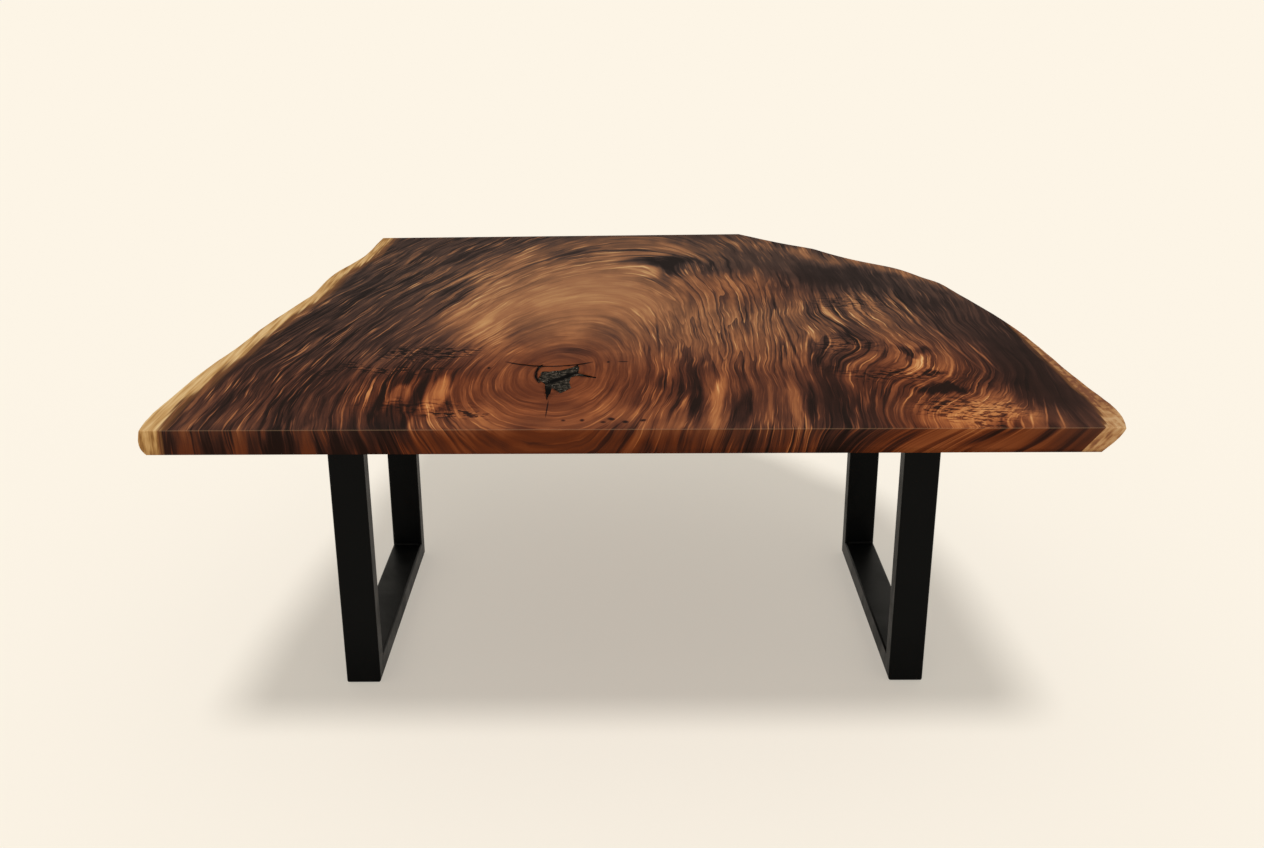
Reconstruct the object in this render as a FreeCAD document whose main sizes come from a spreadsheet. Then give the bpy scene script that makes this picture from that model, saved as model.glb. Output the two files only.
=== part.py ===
import FreeCAD
import Part
import Sketcher
import math
import os

# A live edge slab table: one thick natural-edged slab carried by two welded U legs of black steel tube.
# The frame is +Z up with the origin on the floor, under the middle of the slab. +X is the table's right,
# seen from the front, and the front saw cut faces -Y. All sizes are millimetres.

DIMENSIONS = {
    # The slab
    "table_height": (750, "floor to the top of the slab"),
    "top_width": (1724, "widest left to right, live edge to live edge"),
    "top_depth": (1664, "front saw cut to the far corner of the back one"),
    "top_thickness": (45, "slab thickness"),
    "back_skew": (42, "how much nearer the back cut is at its left end"),
    "left_taper": (136, "how far the left live edge runs in by the back"),
    "right_taper": (547, "how far the right live edge runs in by the back"),
    "left_undercut": (10, "how far the left live edge tucks in below"),
    "right_undercut": (38, "how far the right live edge tucks in below"),
    "top_ease": (2, "rounding of the slab's top edges"),
    # The resin in the knot
    "knot_x": (-154, "knot centre, from the middle of the slab"),
    "knot_setback": (277, "knot centre, from the front cut"),
    "knot_length": (220, "length of the open heart of the knot"),
    "crack_width": (3.5, "width of the drying cracks"),
    "arc_crack_radius": (142, "bend of the crack across the head of the knot"),
    "side_crack_radius": (170, "bend of the crack down the side of the knot"),
    "resin_depth": (14, "depth of the resin"),
    # The U legs
    "tube_width": (75, "tube section, left to right"),
    "tube_depth": (45, "tube section, front to back or up and down"),
    "tube_wall": (3, "tube wall"),
    "tube_corner": (4.5, "outside corner radius of the tube"),
    "side_overhang": (224.5, "widest point of the slab to the outside of a leg"),
    "leg_depth": (664, "front to back of one leg"),
    "front_overhang": (418, "front saw cut to the front of the legs"),
    "plate_thickness": (6, "mounting plate"),
    "weld_size": (5, "leg length of a fillet weld"),
    # What bolts the legs to the slab
    "bolt_diameter": (8, "leg bolt thread"),
    "bolt_length": (25, "leg bolt under the head"),
    "bolt_flats": (13, "leg bolt across flats"),
    "bolt_head": (5.3, "leg bolt head height"),
    "washer_diameter": (20, "leg washer outside"),
    "washer_thickness": (2, "leg washer"),
    "insert_length": (20, "threaded insert for a leg bolt"),
    "bolt_spacing": (36, "between the two columns of leg bolts"),
    "bolt_inset": (67, "outer rows of bolts from the uprights"),
    # The channels across the grain
    "channel_width": (40, "channel section, across"),
    "channel_height": (15, "channel section, deep"),
    "channel_wall": (3, "channel wall"),
    "front_channel_setback": (212, "widest points of the slab to the ends of the front channel"),
    "rear_channel_setback": (362, "the same for the rear channel"),
    "rear_channel_shift": (-60, "rear channel centre, from the middle of the slab"),
    "channel_reach": (160, "channel centre line, from the ends of the legs"),
    "channel_margin": (100, "outer bolts from the ends of a channel"),
    "channel_bolt_diameter": (6, "channel bolt thread"),
    "channel_bolt_length": (20, "channel bolt under the head"),
    "channel_bolt_flats": (10, "channel bolt across flats"),
    "channel_bolt_head": (4, "channel bolt head height"),
    "channel_washer_diameter": (18, "channel washer outside"),
    "channel_washer_thickness": (1.6, "channel washer"),
    "channel_insert_length": (13, "threaded insert for a channel bolt"),
    # Fits shared by both kinds of fastener
    "slot_travel": (8, "extra length of a slot, for the slab's movement"),
    "hole_clearance": (1, "slot or washer hole over the bolt"),
    "thread_clearance": (0.2, "insert bore over the bolt"),
    "insert_wall": (2, "wall of a threaded insert"),
    "insert_clearance": (0.2, "hole in the slab over the insert"),
    "drill_allowance": (3, "hole depth past the bolt or insert"),
    "groove_clearance": (0.6, "groove over the channel's section"),
    "groove_end_room": (6, "groove past each end of the channel"),
    # The feet
    "pad_diameter": (40, "floor pad"),
    "pad_thickness": (3, "floor pad"),
    "pad_inset": (30, "floor pad edge from the end of the rail"),
}

# Stations along each live edge, front to back: share of the edge's length, share of that edge's taper.
LEFT_EDGE = [
    (0.0, 0.045), (0.035, 0.0), (0.125, 0.03), (0.185, 0.06), (0.25, 0.14), (0.31, 0.23), (0.37, 0.29),
    (0.50, 0.48), (0.60, 0.635), (0.68, 0.645), (0.745, 0.72), (0.845, 0.935), (0.92, 0.975), (1.0, 1.0),
]
RIGHT_EDGE = [
    (0.0, 0.03), (0.035, 0.006), (0.065, 0.0), (0.125, 0.011), (0.19, 0.024), (0.31, 0.037), (0.37, 0.05),
    (0.485, 0.097), (0.60, 0.16), (0.635, 0.185), (0.665, 0.228), (0.725, 0.312), (0.755, 0.388),
    (0.785, 0.473), (0.845, 0.6), (0.875, 0.655), (0.905, 0.748), (0.965, 0.914), (1.0, 1.0),
]
# Sections of the slab from the underside up: share of the thickness, share of the left undercut that
# still shows there, share of the right one.
EDGE_PROFILE = [(0.0, 1.0, 1.0), (0.2, 0.25, 0.74), (0.7, 0.0, 0.18), (1.0, 0.3, 0.0)]

# Outline of the open heart of the knot, in shares of its length about its centre.
KNOT_HEART = [
    (0.19, 0.455), (0.205, 0.318), (0.195, 0.19), (0.364, 0.073), (0.355, 0.041), (0.19, 0.127),
    (0.14, 0.045), (0.136, -0.068), (0.16, -0.227), (0.073, -0.373), (-0.01, -0.227), (-0.018, -0.41),
    (-0.036, -0.568), (-0.06, -0.318), (-0.073, -0.123), (-0.14, 0.01), (-0.118, 0.236), (0.045, 0.273),
    (0.145, 0.364),
]
# The two drying cracks: where each arc's middle lies, in shares of the knot's length about its centre,
# and the bearings of its first end, its middle and its last end about the arc's centre.
ARC_CRACK_SHARES = (-0.085, 0.395)
ARC_CRACK_DEGREES = (237, 268, 301)
SIDE_CRACK_SHARES = (-0.171, 0.168)
SIDE_CRACK_DEGREES = (161, 182, 201)

SIDES = {"left": -1, "right": 1}
CHANNEL_BOLT_COUNT = 5
HEXAGON = 6
# Two coordinates closer than this are the same
SAME = 1e-6
CUBIC_CENTIMETRE = 1000


class Length:
    """A size that carries its number and the spreadsheet expression that it comes from."""

    def __init__(self, value, text):
        self.value = value
        self.text = text

    def _join(self, sign, other, value):
        text = other.text if isinstance(other, Length) else str(other)
        return Length(value, f"({self.text} {sign} {text})")

    def __add__(self, other):
        return self._join("+", other, self.value + number(other))

    def __sub__(self, other):
        return self._join("-", other, self.value - number(other))

    def __mul__(self, other):
        return self._join("*", other, self.value * number(other))

    def __truediv__(self, other):
        return self._join("/", other, self.value / number(other))

    def __neg__(self):
        return self * -1


def number(size):
    """The plain number of a Length, or of a number."""
    return size.value if isinstance(size, Length) else size


def larger(one, other):
    """The larger of two Lengths, as a Length."""
    return Length(max(one.value, other.value), f"max({one.text}; {other.text})")


class Sizes:
    """The driving dimensions, each as a Length under its own name."""


doc = FreeCAD.newDocument("live_edge_table")
sheet = doc.addObject("Spreadsheet::Sheet", "Dimensions")
for row, (alias, (value, meaning)) in enumerate(DIMENSIONS.items(), start=1):
    sheet.set(f"A{row}", meaning)
    sheet.set(f"B{row}", str(value))
    sheet.setAlias(f"B{row}", alias)
doc.recompute()

size = Sizes()
for alias in DIMENSIONS:
    setattr(size, alias, Length(getattr(sheet, alias), f"Dimensions.{alias}"))

# Levels and lines that several pieces share
ZERO = size.table_height * 0
underside = size.table_height - size.top_thickness
front_cut = -size.top_depth / 2
leg_front = front_cut + size.front_overhang
leg_back = leg_front + size.leg_depth
leg_middle = leg_front + size.leg_depth / 2
upright_height = underside - size.plate_thickness - size.pad_thickness
plate_level = underside - size.plate_thickness
leg_offset = size.top_width / 2 - size.side_overhang - size.tube_width / 2
bolt_row = size.leg_depth / 2 - size.tube_depth - size.bolt_inset


def bind(thing, **sizes):
    """Ties properties of a document object to the spreadsheet."""
    for name, length in sizes.items():
        thing.setExpression(name, length.text)
    return thing


def place(thing, x, y, z, turn=None):
    """Puts an object at a point given by Lengths, turned if asked."""
    if turn is not None:
        thing.Placement = FreeCAD.Placement(FreeCAD.Vector(), turn)
    for axis, length in zip("xyz", (x, y, z)):
        thing.setExpression(f"Placement.Base.{axis}", length.text)
    return thing


def block(name, across, deep, high, x, y, z):
    """A box with the middle of its lower face at a point."""
    thing = bind(doc.addObject("Part::Box", name), Length=across, Width=deep, Height=high)
    return place(thing, x - across / 2, y - deep / 2, z)


def rod(name, diameter, high):
    """A round bar standing on the origin."""
    return bind(doc.addObject("Part::Cylinder", name), Radius=diameter / 2, Height=high)


def cut(name, base, tool):
    """One shape less another."""
    thing = doc.addObject("Part::Cut", name)
    thing.Base = base
    thing.Tool = tool
    return thing


def fuse(name, shapes):
    """Several shapes joined into one."""
    thing = doc.addObject("Part::MultiFuse", name)
    thing.Shapes = shapes
    return thing


def group(name, things):
    """Separate solids kept together as one sub-part."""
    thing = doc.addObject("Part::Compound", name)
    thing.Links = things
    return thing


def copies(name, master, points, turns=None):
    """Linked copies of one object at a list of points."""
    made = []
    for index, point in enumerate(points):
        link = doc.addObject("App::Link", f"{name}_{index + 1}")
        link.LinkedObject = master
        made.append(place(link, *point, turn=turns[index] if turns else FreeCAD.Rotation()))
    return made


def turned(axis, degrees):
    """A rotation about an axis through the origin."""
    return FreeCAD.Rotation(axis, degrees)


X_AXIS = FreeCAD.Vector(1, 0, 0)
Z_AXIS = FreeCAD.Vector(0, 0, 1)


# Welded U legs

def origin_plane(body, role):
    """One of a body's own origin planes."""
    return next(feature for feature in body.Origin.OriginFeatures if feature.Role == role)


def side_sketch(body, name, corners):
    """A closed polygon on a body's YZ plane, each corner tied to the spreadsheet."""
    sketch = body.newObject("Sketcher::SketchObject", name)
    sketch.AttachmentSupport = [(origin_plane(body, "YZ_Plane"), "")]
    sketch.MapMode = "FlatFace"
    points = [FreeCAD.Vector(number(y), number(z), 0) for y, z in corners]
    count = len(corners)
    for index in range(count):
        sketch.addGeometry(Part.LineSegment(points[index], points[(index + 1) % count]), False)
    for index in range(count):
        sketch.addConstraint(Sketcher.Constraint("Coincident", index, 2, (index + 1) % count, 1))
    for index, corner in enumerate(corners):
        for kind, axis, length in (("DistanceX", -2, corner[0]), ("DistanceY", -1, corner[1])):
            if number(length) == 0:
                sketch.addConstraint(Sketcher.Constraint("PointOnObject", index, 1, axis))
                continue
            tie = sketch.addConstraint(Sketcher.Constraint(kind, index, 1, number(length)))
            sketch.setExpression(f"Constraints[{tie}]", length.text)
    return sketch


def across(body, kind, name, sketch, length):
    """A pad or pocket of a sketch, as far to the left as to the right."""
    feature = body.newObject(f"PartDesign::{kind}", name)
    feature.Profile = sketch
    feature.SideType = "Symmetric"
    return bind(feature, Length=length)


def long_edges(shape, half_width, keep):
    """Names of the edges on a pad's two side faces that pass a test of their two ends."""
    names = []
    for index, edge in enumerate(shape.Edges, start=1):
        ends = [vertex.Point for vertex in edge.Vertexes]
        on_side = all(abs(abs(point.x) - half_width) < SAME for point in ends)
        if on_side and abs(ends[0].x - ends[1].x) < SAME and keep(ends[0], ends[1]):
            names.append(f"Edge{index}")
    return names


def tube(label, outside, inside, keep):
    """A length of rectangular tube from its side outline and the outline of its hollow."""
    body = doc.addObject("PartDesign::Body", label)
    outline = side_sketch(body, f"{label}_outline", outside)
    pad = across(body, "Pad", f"{label}_outside", outline, size.tube_width)
    doc.recompute()
    corners = body.newObject("PartDesign::Fillet", f"{label}_corners")
    corners.Base = (pad, long_edges(pad.Shape, size.tube_width.value / 2, keep))
    bind(corners, Radius=size.tube_corner)
    hollow = side_sketch(body, f"{label}_hollow_outline", inside)
    across(body, "Pocket", f"{label}_hollow", hollow, size.tube_width - size.tube_wall * 2)
    return body


def is_upright_edge(one, other):
    """True for an edge that runs up the tube."""
    return abs(one.y - other.y) < SAME


def is_level_edge(one, other):
    """True for an edge that runs along the rail."""
    return abs(one.z - other.z) < SAME


def upright(label):
    """A tube that stands on its outer lower corner and is mitred there to meet the floor rail."""
    deep, wall = size.tube_depth, size.tube_wall
    outside = [(ZERO, ZERO), (deep, deep), (deep, upright_height), (ZERO, upright_height)]
    inside = [(wall, wall), (deep - wall, deep - wall), (deep - wall, upright_height), (wall, upright_height)]
    return tube(label, outside, inside, is_upright_edge)


def floor_rail(label):
    """The tube along the floor, mitred at both ends."""
    deep, wall, run = size.tube_depth, size.tube_wall, size.leg_depth
    outside = [(ZERO, ZERO), (run, ZERO), (run - deep, deep), (deep, deep)]
    inside = [(wall, wall), (run - wall, wall), (run - deep + wall, deep - wall), (deep - wall, deep - wall)]
    return tube(label, outside, inside, is_level_edge)


def slot_tool(name, bolt, high):
    """A slot for a bolt, longer across the grain so that the slab can move."""
    wide = bolt + size.hole_clearance
    half = size.slot_travel / 2
    ends = [place(rod(f"{name}_{side}", wide, high), half * sign, ZERO, ZERO) for side, sign in SIDES.items()]
    return fuse(name, [block(f"{name}_middle", size.slot_travel, wide, high, ZERO, ZERO, ZERO), *ends])


def bolt_points(middle, level):
    """The six bolt places of one leg: three rows front to back, in two columns."""
    points = []
    for row in (-bolt_row, ZERO, bolt_row):
        for column in (-size.bolt_spacing / 2, size.bolt_spacing / 2):
            points.append((middle + column, leg_middle + row, level))
    return points


def mounting_plate(label, middle, slot):
    """The slotted plate across the top of a U leg."""
    blank = block(f"{label}_blank", size.tube_width, size.leg_depth, size.plate_thickness,
                  middle, leg_middle, plate_level)
    slots = group(f"{label}_slots", copies(f"{label}_slot", slot, bolt_points(middle, plate_level)))
    return cut(label, blank, slots)


def weld_bead():
    """A fillet weld along an inside corner, with its corner on the X axis."""
    body = doc.addObject("PartDesign::Body", "weld_bead")
    leg = size.weld_size
    sketch = side_sketch(body, "weld_section", [(ZERO, ZERO), (leg, ZERO), (ZERO, leg)])
    across(body, "Pad", "weld_run", sketch, size.tube_width - size.tube_corner * 2)
    return body


def weld_beads(label, middle, bead):
    """The four inside corners of one leg."""
    front = leg_front + size.tube_depth
    back = leg_back - size.tube_depth
    low = size.pad_thickness + size.tube_depth
    corners = [(front, low), (back, low), (back, plate_level), (front, plate_level)]
    points = [(middle, line, level) for line, level in corners]
    turns = [turned(X_AXIS, quarter * 90) for quarter in range(len(points))]
    return group(label, copies(f"{label}_run", bead, points, turns))


# Fasteners

def hexagon_bolt(name, diameter, long, flats, head):
    """A hexagon bolt, pointing up, with the bearing face of its head on the origin."""
    cap = doc.addObject("Part::Prism", f"{name}_head")
    cap.Polygon = HEXAGON
    bind(cap, Circumradius=flats / math.sqrt(3), Height=head)
    place(cap, ZERO, ZERO, -head)
    return fuse(name, [cap, rod(f"{name}_shank", diameter, long)])


def ring(name, outside, bore, high):
    """A washer or sleeve standing on the origin."""
    return cut(name, rod(f"{name}_outside", outside, high), rod(f"{name}_bore", bore, high))


def insert_diameter(bolt):
    """Outside of the threaded insert for a bolt."""
    return bolt + size.insert_wall * 2


def insert_hole(name, bolt, reach, length):
    """The blind hole that takes an insert and the end of its bolt."""
    diameter = insert_diameter(bolt) + size.insert_clearance
    return rod(name, diameter, larger(reach, length) + size.drill_allowance)


# The slab

def edge_curve(stations, tip, taper, sign, run, level):
    """A live edge at one height, from the front cut to the back one, as a smooth curve."""
    front = front_cut.value
    points = [
        FreeCAD.Vector(sign * (tip - share * taper), front + along * run, level) for along, share in stations
    ]
    curve = Part.BSplineCurve()
    curve.interpolate(points)
    return curve.toShape(), points


def slab_section(height, left_share, right_share):
    """The slab's outline at one height, as a closed wire."""
    level = underside.value + height * size.top_thickness.value
    half = size.top_width.value / 2
    deep = size.top_depth.value
    left, left_points = edge_curve(LEFT_EDGE, half - left_share * size.left_undercut.value,
                                   size.left_taper.value, -1, deep - size.back_skew.value, level)
    right, right_points = edge_curve(RIGHT_EDGE, half - right_share * size.right_undercut.value,
                                     size.right_taper.value, 1, deep, level)
    front = Part.LineSegment(left_points[0], right_points[0]).toShape()
    back = Part.LineSegment(right_points[-1], left_points[-1]).toShape()
    return Part.Wire([front, right, back, left])


def slab_blank():
    """The natural-edged slab before anything is cut into it."""
    solid = Part.makeLoft([slab_section(*section) for section in EDGE_PROFILE], True, False)
    top = size.table_height.value
    rim = [edge for edge in solid.Edges if all(abs(vertex.Z - top) < SAME for vertex in edge.Vertexes)]
    blank = doc.addObject("Part::Feature", "slab_blank")
    blank.Shape = solid.makeFillet(size.top_ease.value, rim)
    return blank


def knot_point(share):
    """A point of the knot on the top of the slab, from its place in shares of the knot's length."""
    long = size.knot_length.value
    across_x = size.knot_x.value + share[0] * long
    back_y = front_cut.value + size.knot_setback.value + share[1] * long
    return FreeCAD.Vector(across_x, back_y, size.table_height.value)


def crack_outline(middle, degrees, radius):
    """A thin crack along an arc, closed at both ends."""
    first, mid, last = (math.radians(bearing) for bearing in degrees)
    toward = FreeCAD.Vector(math.cos(mid), math.sin(mid), 0)
    centre = knot_point(middle) - toward * radius

    def at(angle, distance):
        return centre + FreeCAD.Vector(math.cos(angle), math.sin(angle), 0) * distance

    outer = radius + size.crack_width.value / 2
    inner = radius - size.crack_width.value / 2
    edges = [
        Part.Arc(at(first, outer), at(mid, outer), at(last, outer)).toShape(),
        Part.LineSegment(at(last, outer), at(last, inner)).toShape(),
        Part.Arc(at(last, inner), at(mid, inner), at(first, inner)).toShape(),
        Part.LineSegment(at(first, inner), at(first, outer)).toShape(),
    ]
    return Part.Wire(edges)


def resin_pour(name, outline):
    """Resin below an outline on the top of the slab."""
    face = doc.addObject("Part::Feature", f"{name}_outline")
    face.Shape = Part.Face(outline)
    pour = doc.addObject("Part::Extrusion", name)
    pour.Base = face
    pour.DirMode = "Custom"
    pour.Dir = FreeCAD.Vector(0, 0, -1)
    pour.Solid = True
    return bind(pour, LengthFwd=size.resin_depth)


def knot_resin(label):
    """The one pour that fills the heart of the knot and its cracks."""
    heart = [knot_point(share) for share in KNOT_HEART]
    arc_crack = crack_outline(ARC_CRACK_SHARES, ARC_CRACK_DEGREES, size.arc_crack_radius.value)
    side_crack = crack_outline(SIDE_CRACK_SHARES, SIDE_CRACK_DEGREES, size.side_crack_radius.value)
    pours = [
        resin_pour("heart_pour", Part.makePolygon([*heart, heart[0]])),
        resin_pour("arc_crack_pour", arc_crack),
        resin_pour("side_crack_pour", side_crack),
    ]
    return fuse(label, pours)


# Channels let into the underside

def channel_points(length, middle, line, level):
    """Where the bolts of one channel stand, evenly spaced between its margins."""
    span = length - size.channel_margin * 2
    gaps = CHANNEL_BOLT_COUNT - 1
    return [(middle - span / 2 + span * index / gaps, line, level) for index in range(CHANNEL_BOLT_COUNT)]


def channel(label, length, middle, line, slot):
    """A steel channel, web flush with the underside and flanges up in the wood."""
    web = size.channel_wall
    blank = block(f"{label}_blank", length, size.channel_width, size.channel_height, middle, line, underside)
    hollow = block(f"{label}_hollow", length, size.channel_width - web * 2, size.channel_height - web,
                   middle, line, underside + web)
    points = channel_points(length, middle, line, underside)
    slots = copies(f"{label}_slot", slot, points)
    return cut(label, blank, group(f"{label}_cuts", [hollow, *slots]))


def channel_groove(name, length, middle, line):
    """The groove in the slab for one channel: a shallow bed for the web, a deep slot for each flange."""
    room = size.groove_clearance
    run = length + size.groove_end_room * 2
    wide = size.channel_width + room
    flange = size.channel_wall + room
    bed = block(f"{name}_bed", run, wide, size.channel_wall + room / 2, middle, line, underside)
    high = size.channel_height + room
    reach = size.channel_width / 2 - size.channel_wall / 2
    slots = [
        block(f"{name}_{side}_slot", run, flange, high, middle, line + reach * sign, underside)
        for side, sign in SIDES.items()
    ]
    return fuse(name, [bed, *slots])


# Assembly: each leg with its feet, then the channels, then the slab that takes them all
parts = []
slab_cuts = []

plate_slot = slot_tool("plate_slot", size.bolt_diameter, size.plate_thickness)
bead = weld_bead()
leg_bolt = hexagon_bolt("leg_bolt", size.bolt_diameter, size.bolt_length,
                        size.bolt_flats, size.bolt_head)
leg_washer = ring("leg_washer", size.washer_diameter,
                  size.bolt_diameter + size.hole_clearance, size.washer_thickness)
leg_insert = ring("leg_insert", insert_diameter(size.bolt_diameter),
                  size.bolt_diameter + size.thread_clearance, size.insert_length)
leg_bolt_reach = size.bolt_length - size.washer_thickness - size.plate_thickness
leg_hole = insert_hole("leg_insert_hole", size.bolt_diameter, leg_bolt_reach, size.insert_length)
washer_level = plate_level - size.washer_thickness
floor_pad = rod("floor_pad", size.pad_diameter, size.pad_thickness)

for side, sign in SIDES.items():
    middle = leg_offset * sign
    foot = size.pad_thickness
    front = place(upright(f"{side}_leg_front_upright"), middle, leg_front, foot)
    rear = place(upright(f"{side}_leg_rear_upright"), middle, leg_back, foot, turned(Z_AXIS, 180))
    rail = place(floor_rail(f"{side}_leg_floor_rail"), middle, leg_front, foot)
    parts += [front, rear, rail, mounting_plate(f"{side}_leg_mounting_plate", middle, plate_slot)]
    parts.append(weld_beads(f"{side}_leg_weld_beads", middle, bead))
    for label, master, level in (
        (f"{side}_leg_bolts", leg_bolt, washer_level),
        (f"{side}_leg_washers", leg_washer, washer_level),
        (f"{side}_leg_threaded_inserts", leg_insert, underside),
    ):
        parts.append(group(label, copies(f"{label}_copy", master, bolt_points(middle, level))))
    slab_cuts += copies(f"{side}_leg_insert_hole", leg_hole, bolt_points(middle, underside))
    pad_step = size.pad_inset + size.pad_diameter / 2
    for end, line in (("front", leg_front + pad_step), ("rear", leg_back - pad_step)):
        parts.append(group(f"{side}_{end}_floor_pad",
                           copies(f"{side}_{end}_pad_copy", floor_pad, [(middle, line, ZERO)])))

channel_slot = slot_tool("channel_slot", size.channel_bolt_diameter, size.channel_wall)
channel_bolt = hexagon_bolt("channel_bolt", size.channel_bolt_diameter, size.channel_bolt_length,
                            size.channel_bolt_flats, size.channel_bolt_head)
channel_washer = ring("channel_washer", size.channel_washer_diameter,
                      size.channel_bolt_diameter + size.hole_clearance, size.channel_washer_thickness)
channel_insert = ring("channel_insert", insert_diameter(size.channel_bolt_diameter),
                      size.channel_bolt_diameter + size.thread_clearance, size.channel_insert_length)
bed_ceiling = underside + size.channel_wall + size.groove_clearance / 2
channel_bolt_reach = underside - size.channel_washer_thickness + size.channel_bolt_length - bed_ceiling
channel_hole = insert_hole("channel_insert_hole", size.channel_bolt_diameter, channel_bolt_reach,
                           size.channel_insert_length)
channel_washer_level = underside - size.channel_washer_thickness
front_channel_length = size.top_width - size.front_channel_setback * 2
rear_channel_length = size.top_width - size.rear_channel_setback * 2

channel_fasteners = {"channel_bolts": [], "channel_washers": [], "channel_threaded_inserts": []}
for end, length, middle, line in (
    ("front", front_channel_length, ZERO, leg_front - size.channel_reach),
    ("rear", rear_channel_length, size.rear_channel_shift, leg_back + size.channel_reach),
):
    parts.append(channel(f"{end}_stiffening_channel", length, middle, line, channel_slot))
    slab_cuts.append(channel_groove(f"{end}_channel_groove", length, middle, line))
    holes = channel_points(length, middle, line, bed_ceiling)
    slab_cuts += copies(f"{end}_channel_insert_hole", channel_hole, holes)
    for label, master, level in (
        ("channel_bolts", channel_bolt, channel_washer_level),
        ("channel_washers", channel_washer, channel_washer_level),
        ("channel_threaded_inserts", channel_insert, bed_ceiling),
    ):
        points = channel_points(length, middle, line, level)
        channel_fasteners[label] += copies(f"{end}_{label}_copy", master, points)
parts += [group(label, things) for label, things in channel_fasteners.items()]

resin = knot_resin("knot_resin_fill")
slab_cuts.append(resin)
parts += [resin, cut("slab_top", slab_blank(), fuse("slab_cuts", slab_cuts))]

doc.recompute()

# Nothing is written unless every object is sound
for thing in doc.Objects:
    if "Invalid" in thing.State or "Error" in thing.State:
        raise RuntimeError(f"{thing.Label} failed: {thing.State}")
for part in parts:
    if part.Shape.isNull() or not part.Shape.isValid():
        raise RuntimeError(f"{part.Label} has no valid shape")

os.makedirs("parts", exist_ok=True)
for part in parts:
    part.Shape.exportStep(f"parts/{part.Label}.step")
    volume = part.Shape.Volume / CUBIC_CENTIMETRE
    print(f"{part.Label}: {len(part.Shape.Solids)} solids, {volume:.1f} cubic centimetres")
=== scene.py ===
"""Dresses the live edge table: figured slab, knot resin, coated legs, hardware, pads and a pale studio.

Lengths are metres in the frame's own coordinates: +Z is up and the front saw cut faces -Y.
"""

import logging
import math
from dataclasses import dataclass
from enum import Enum
from typing import Iterable, NamedTuple, Sequence

import bmesh
import bpy
from bmesh.types import BMesh, BMEdge, BMFace, BMVert
from bpy.types import Material, Node, NodeSocket, NodeTree, Object
from mathutils import Matrix, Vector, noise


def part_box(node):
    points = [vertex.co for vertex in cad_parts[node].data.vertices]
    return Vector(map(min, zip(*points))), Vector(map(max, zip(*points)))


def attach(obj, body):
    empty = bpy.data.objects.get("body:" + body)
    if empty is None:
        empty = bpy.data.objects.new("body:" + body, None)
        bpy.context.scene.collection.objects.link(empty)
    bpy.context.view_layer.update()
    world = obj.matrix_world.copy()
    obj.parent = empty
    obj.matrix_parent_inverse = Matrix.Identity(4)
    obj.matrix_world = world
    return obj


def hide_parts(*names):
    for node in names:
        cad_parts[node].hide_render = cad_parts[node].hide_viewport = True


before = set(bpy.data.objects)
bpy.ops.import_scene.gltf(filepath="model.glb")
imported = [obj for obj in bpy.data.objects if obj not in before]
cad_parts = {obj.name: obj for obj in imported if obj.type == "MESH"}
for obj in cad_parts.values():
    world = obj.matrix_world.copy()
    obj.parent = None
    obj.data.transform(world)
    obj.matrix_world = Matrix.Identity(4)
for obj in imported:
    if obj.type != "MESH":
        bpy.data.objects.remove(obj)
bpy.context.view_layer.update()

LOG = logging.getLogger("live_edge_table")
ROOT = "root"
MERGE = 0.00001


# Names

class Slot(Enum):
    """The record's material slots."""

    WOOD = "figured_wood"
    RESIN = "knot_resin"
    COAT = "black_powder_coat"
    ZINC = "zinc_plate"
    BRASS = "insert_brass"
    RUBBER = "pad_rubber"


class Side(Enum):
    """The table's two sides."""

    LEFT = "left"
    RIGHT = "right"


# Shader nodes

def tint(code: str) -> tuple[float, float, float, float]:
    """Turns a colour as a screen shows it into the renderer's own numbers.

    Args:
        code: six hexadecimal digits.

    Returns:
        Linear red, green and blue, and an alpha of one.
    """
    shares = [int(code[start:start + 2], 16) / 255 for start in (0, 2, 4)]
    linear = [s / 12.92 if s <= 0.04045 else ((s + 0.055) / 1.055) ** 2.4 for s in shares]
    return (*linear, 1.0)


class Reading:
    """A number that varies over a surface, with arithmetic that adds the nodes it needs."""

    def __init__(self, socket: NodeSocket) -> None:
        """Wraps a node's output."""
        self.socket = socket
        self.tree = socket.id_data

    def apply(self, operation: str, *others: "Level") -> "Reading":
        """Feeds this reading to a Math node.

        Args:
            operation: the node's operation.
            others: its second and third inputs.

        Returns:
            What the node puts out.
        """
        node = self.tree.nodes.new("ShaderNodeMath")
        node.operation = operation
        return Reading(fill(node, self, *others).outputs[0])

    def __add__(self, other: "Level") -> "Reading":
        """Adds."""
        return self.apply("ADD", other)

    def __sub__(self, other: "Level") -> "Reading":
        """Subtracts."""
        return self.apply("SUBTRACT", other)

    def __mul__(self, other: "Level") -> "Reading":
        """Multiplies."""
        return self.apply("MULTIPLY", other)

    def __truediv__(self, other: "Level") -> "Reading":
        """Divides."""
        return self.apply("DIVIDE", other)

    def __pow__(self, other: float) -> "Reading":
        """Raises to a power."""
        return self.apply("POWER", other)

    def larger(self, other: "Level") -> "Reading":
        """The larger of two."""
        return self.apply("MAXIMUM", other)

    def smaller(self, other: "Level") -> "Reading":
        """The smaller of two."""
        return self.apply("MINIMUM", other)

    def eased_larger(self, other: "Level", ease: float) -> "Reading":
        """The larger of two, with the corner between them rounded."""
        return self.apply("SMOOTH_MAX", other, ease)


Level = Reading | float


def connect(entry: NodeSocket, value: "Level | NodeSocket | Sequence[float]") -> None:
    """Links a node's input to a reading or socket, or sets it to a plain value.

    Args:
        entry: the input.
        value: what goes into it.
    """
    if isinstance(value, Reading):
        value = value.socket
    if isinstance(value, NodeSocket):
        entry.id_data.links.new(value, entry)
    else:
        entry.default_value = value


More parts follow.
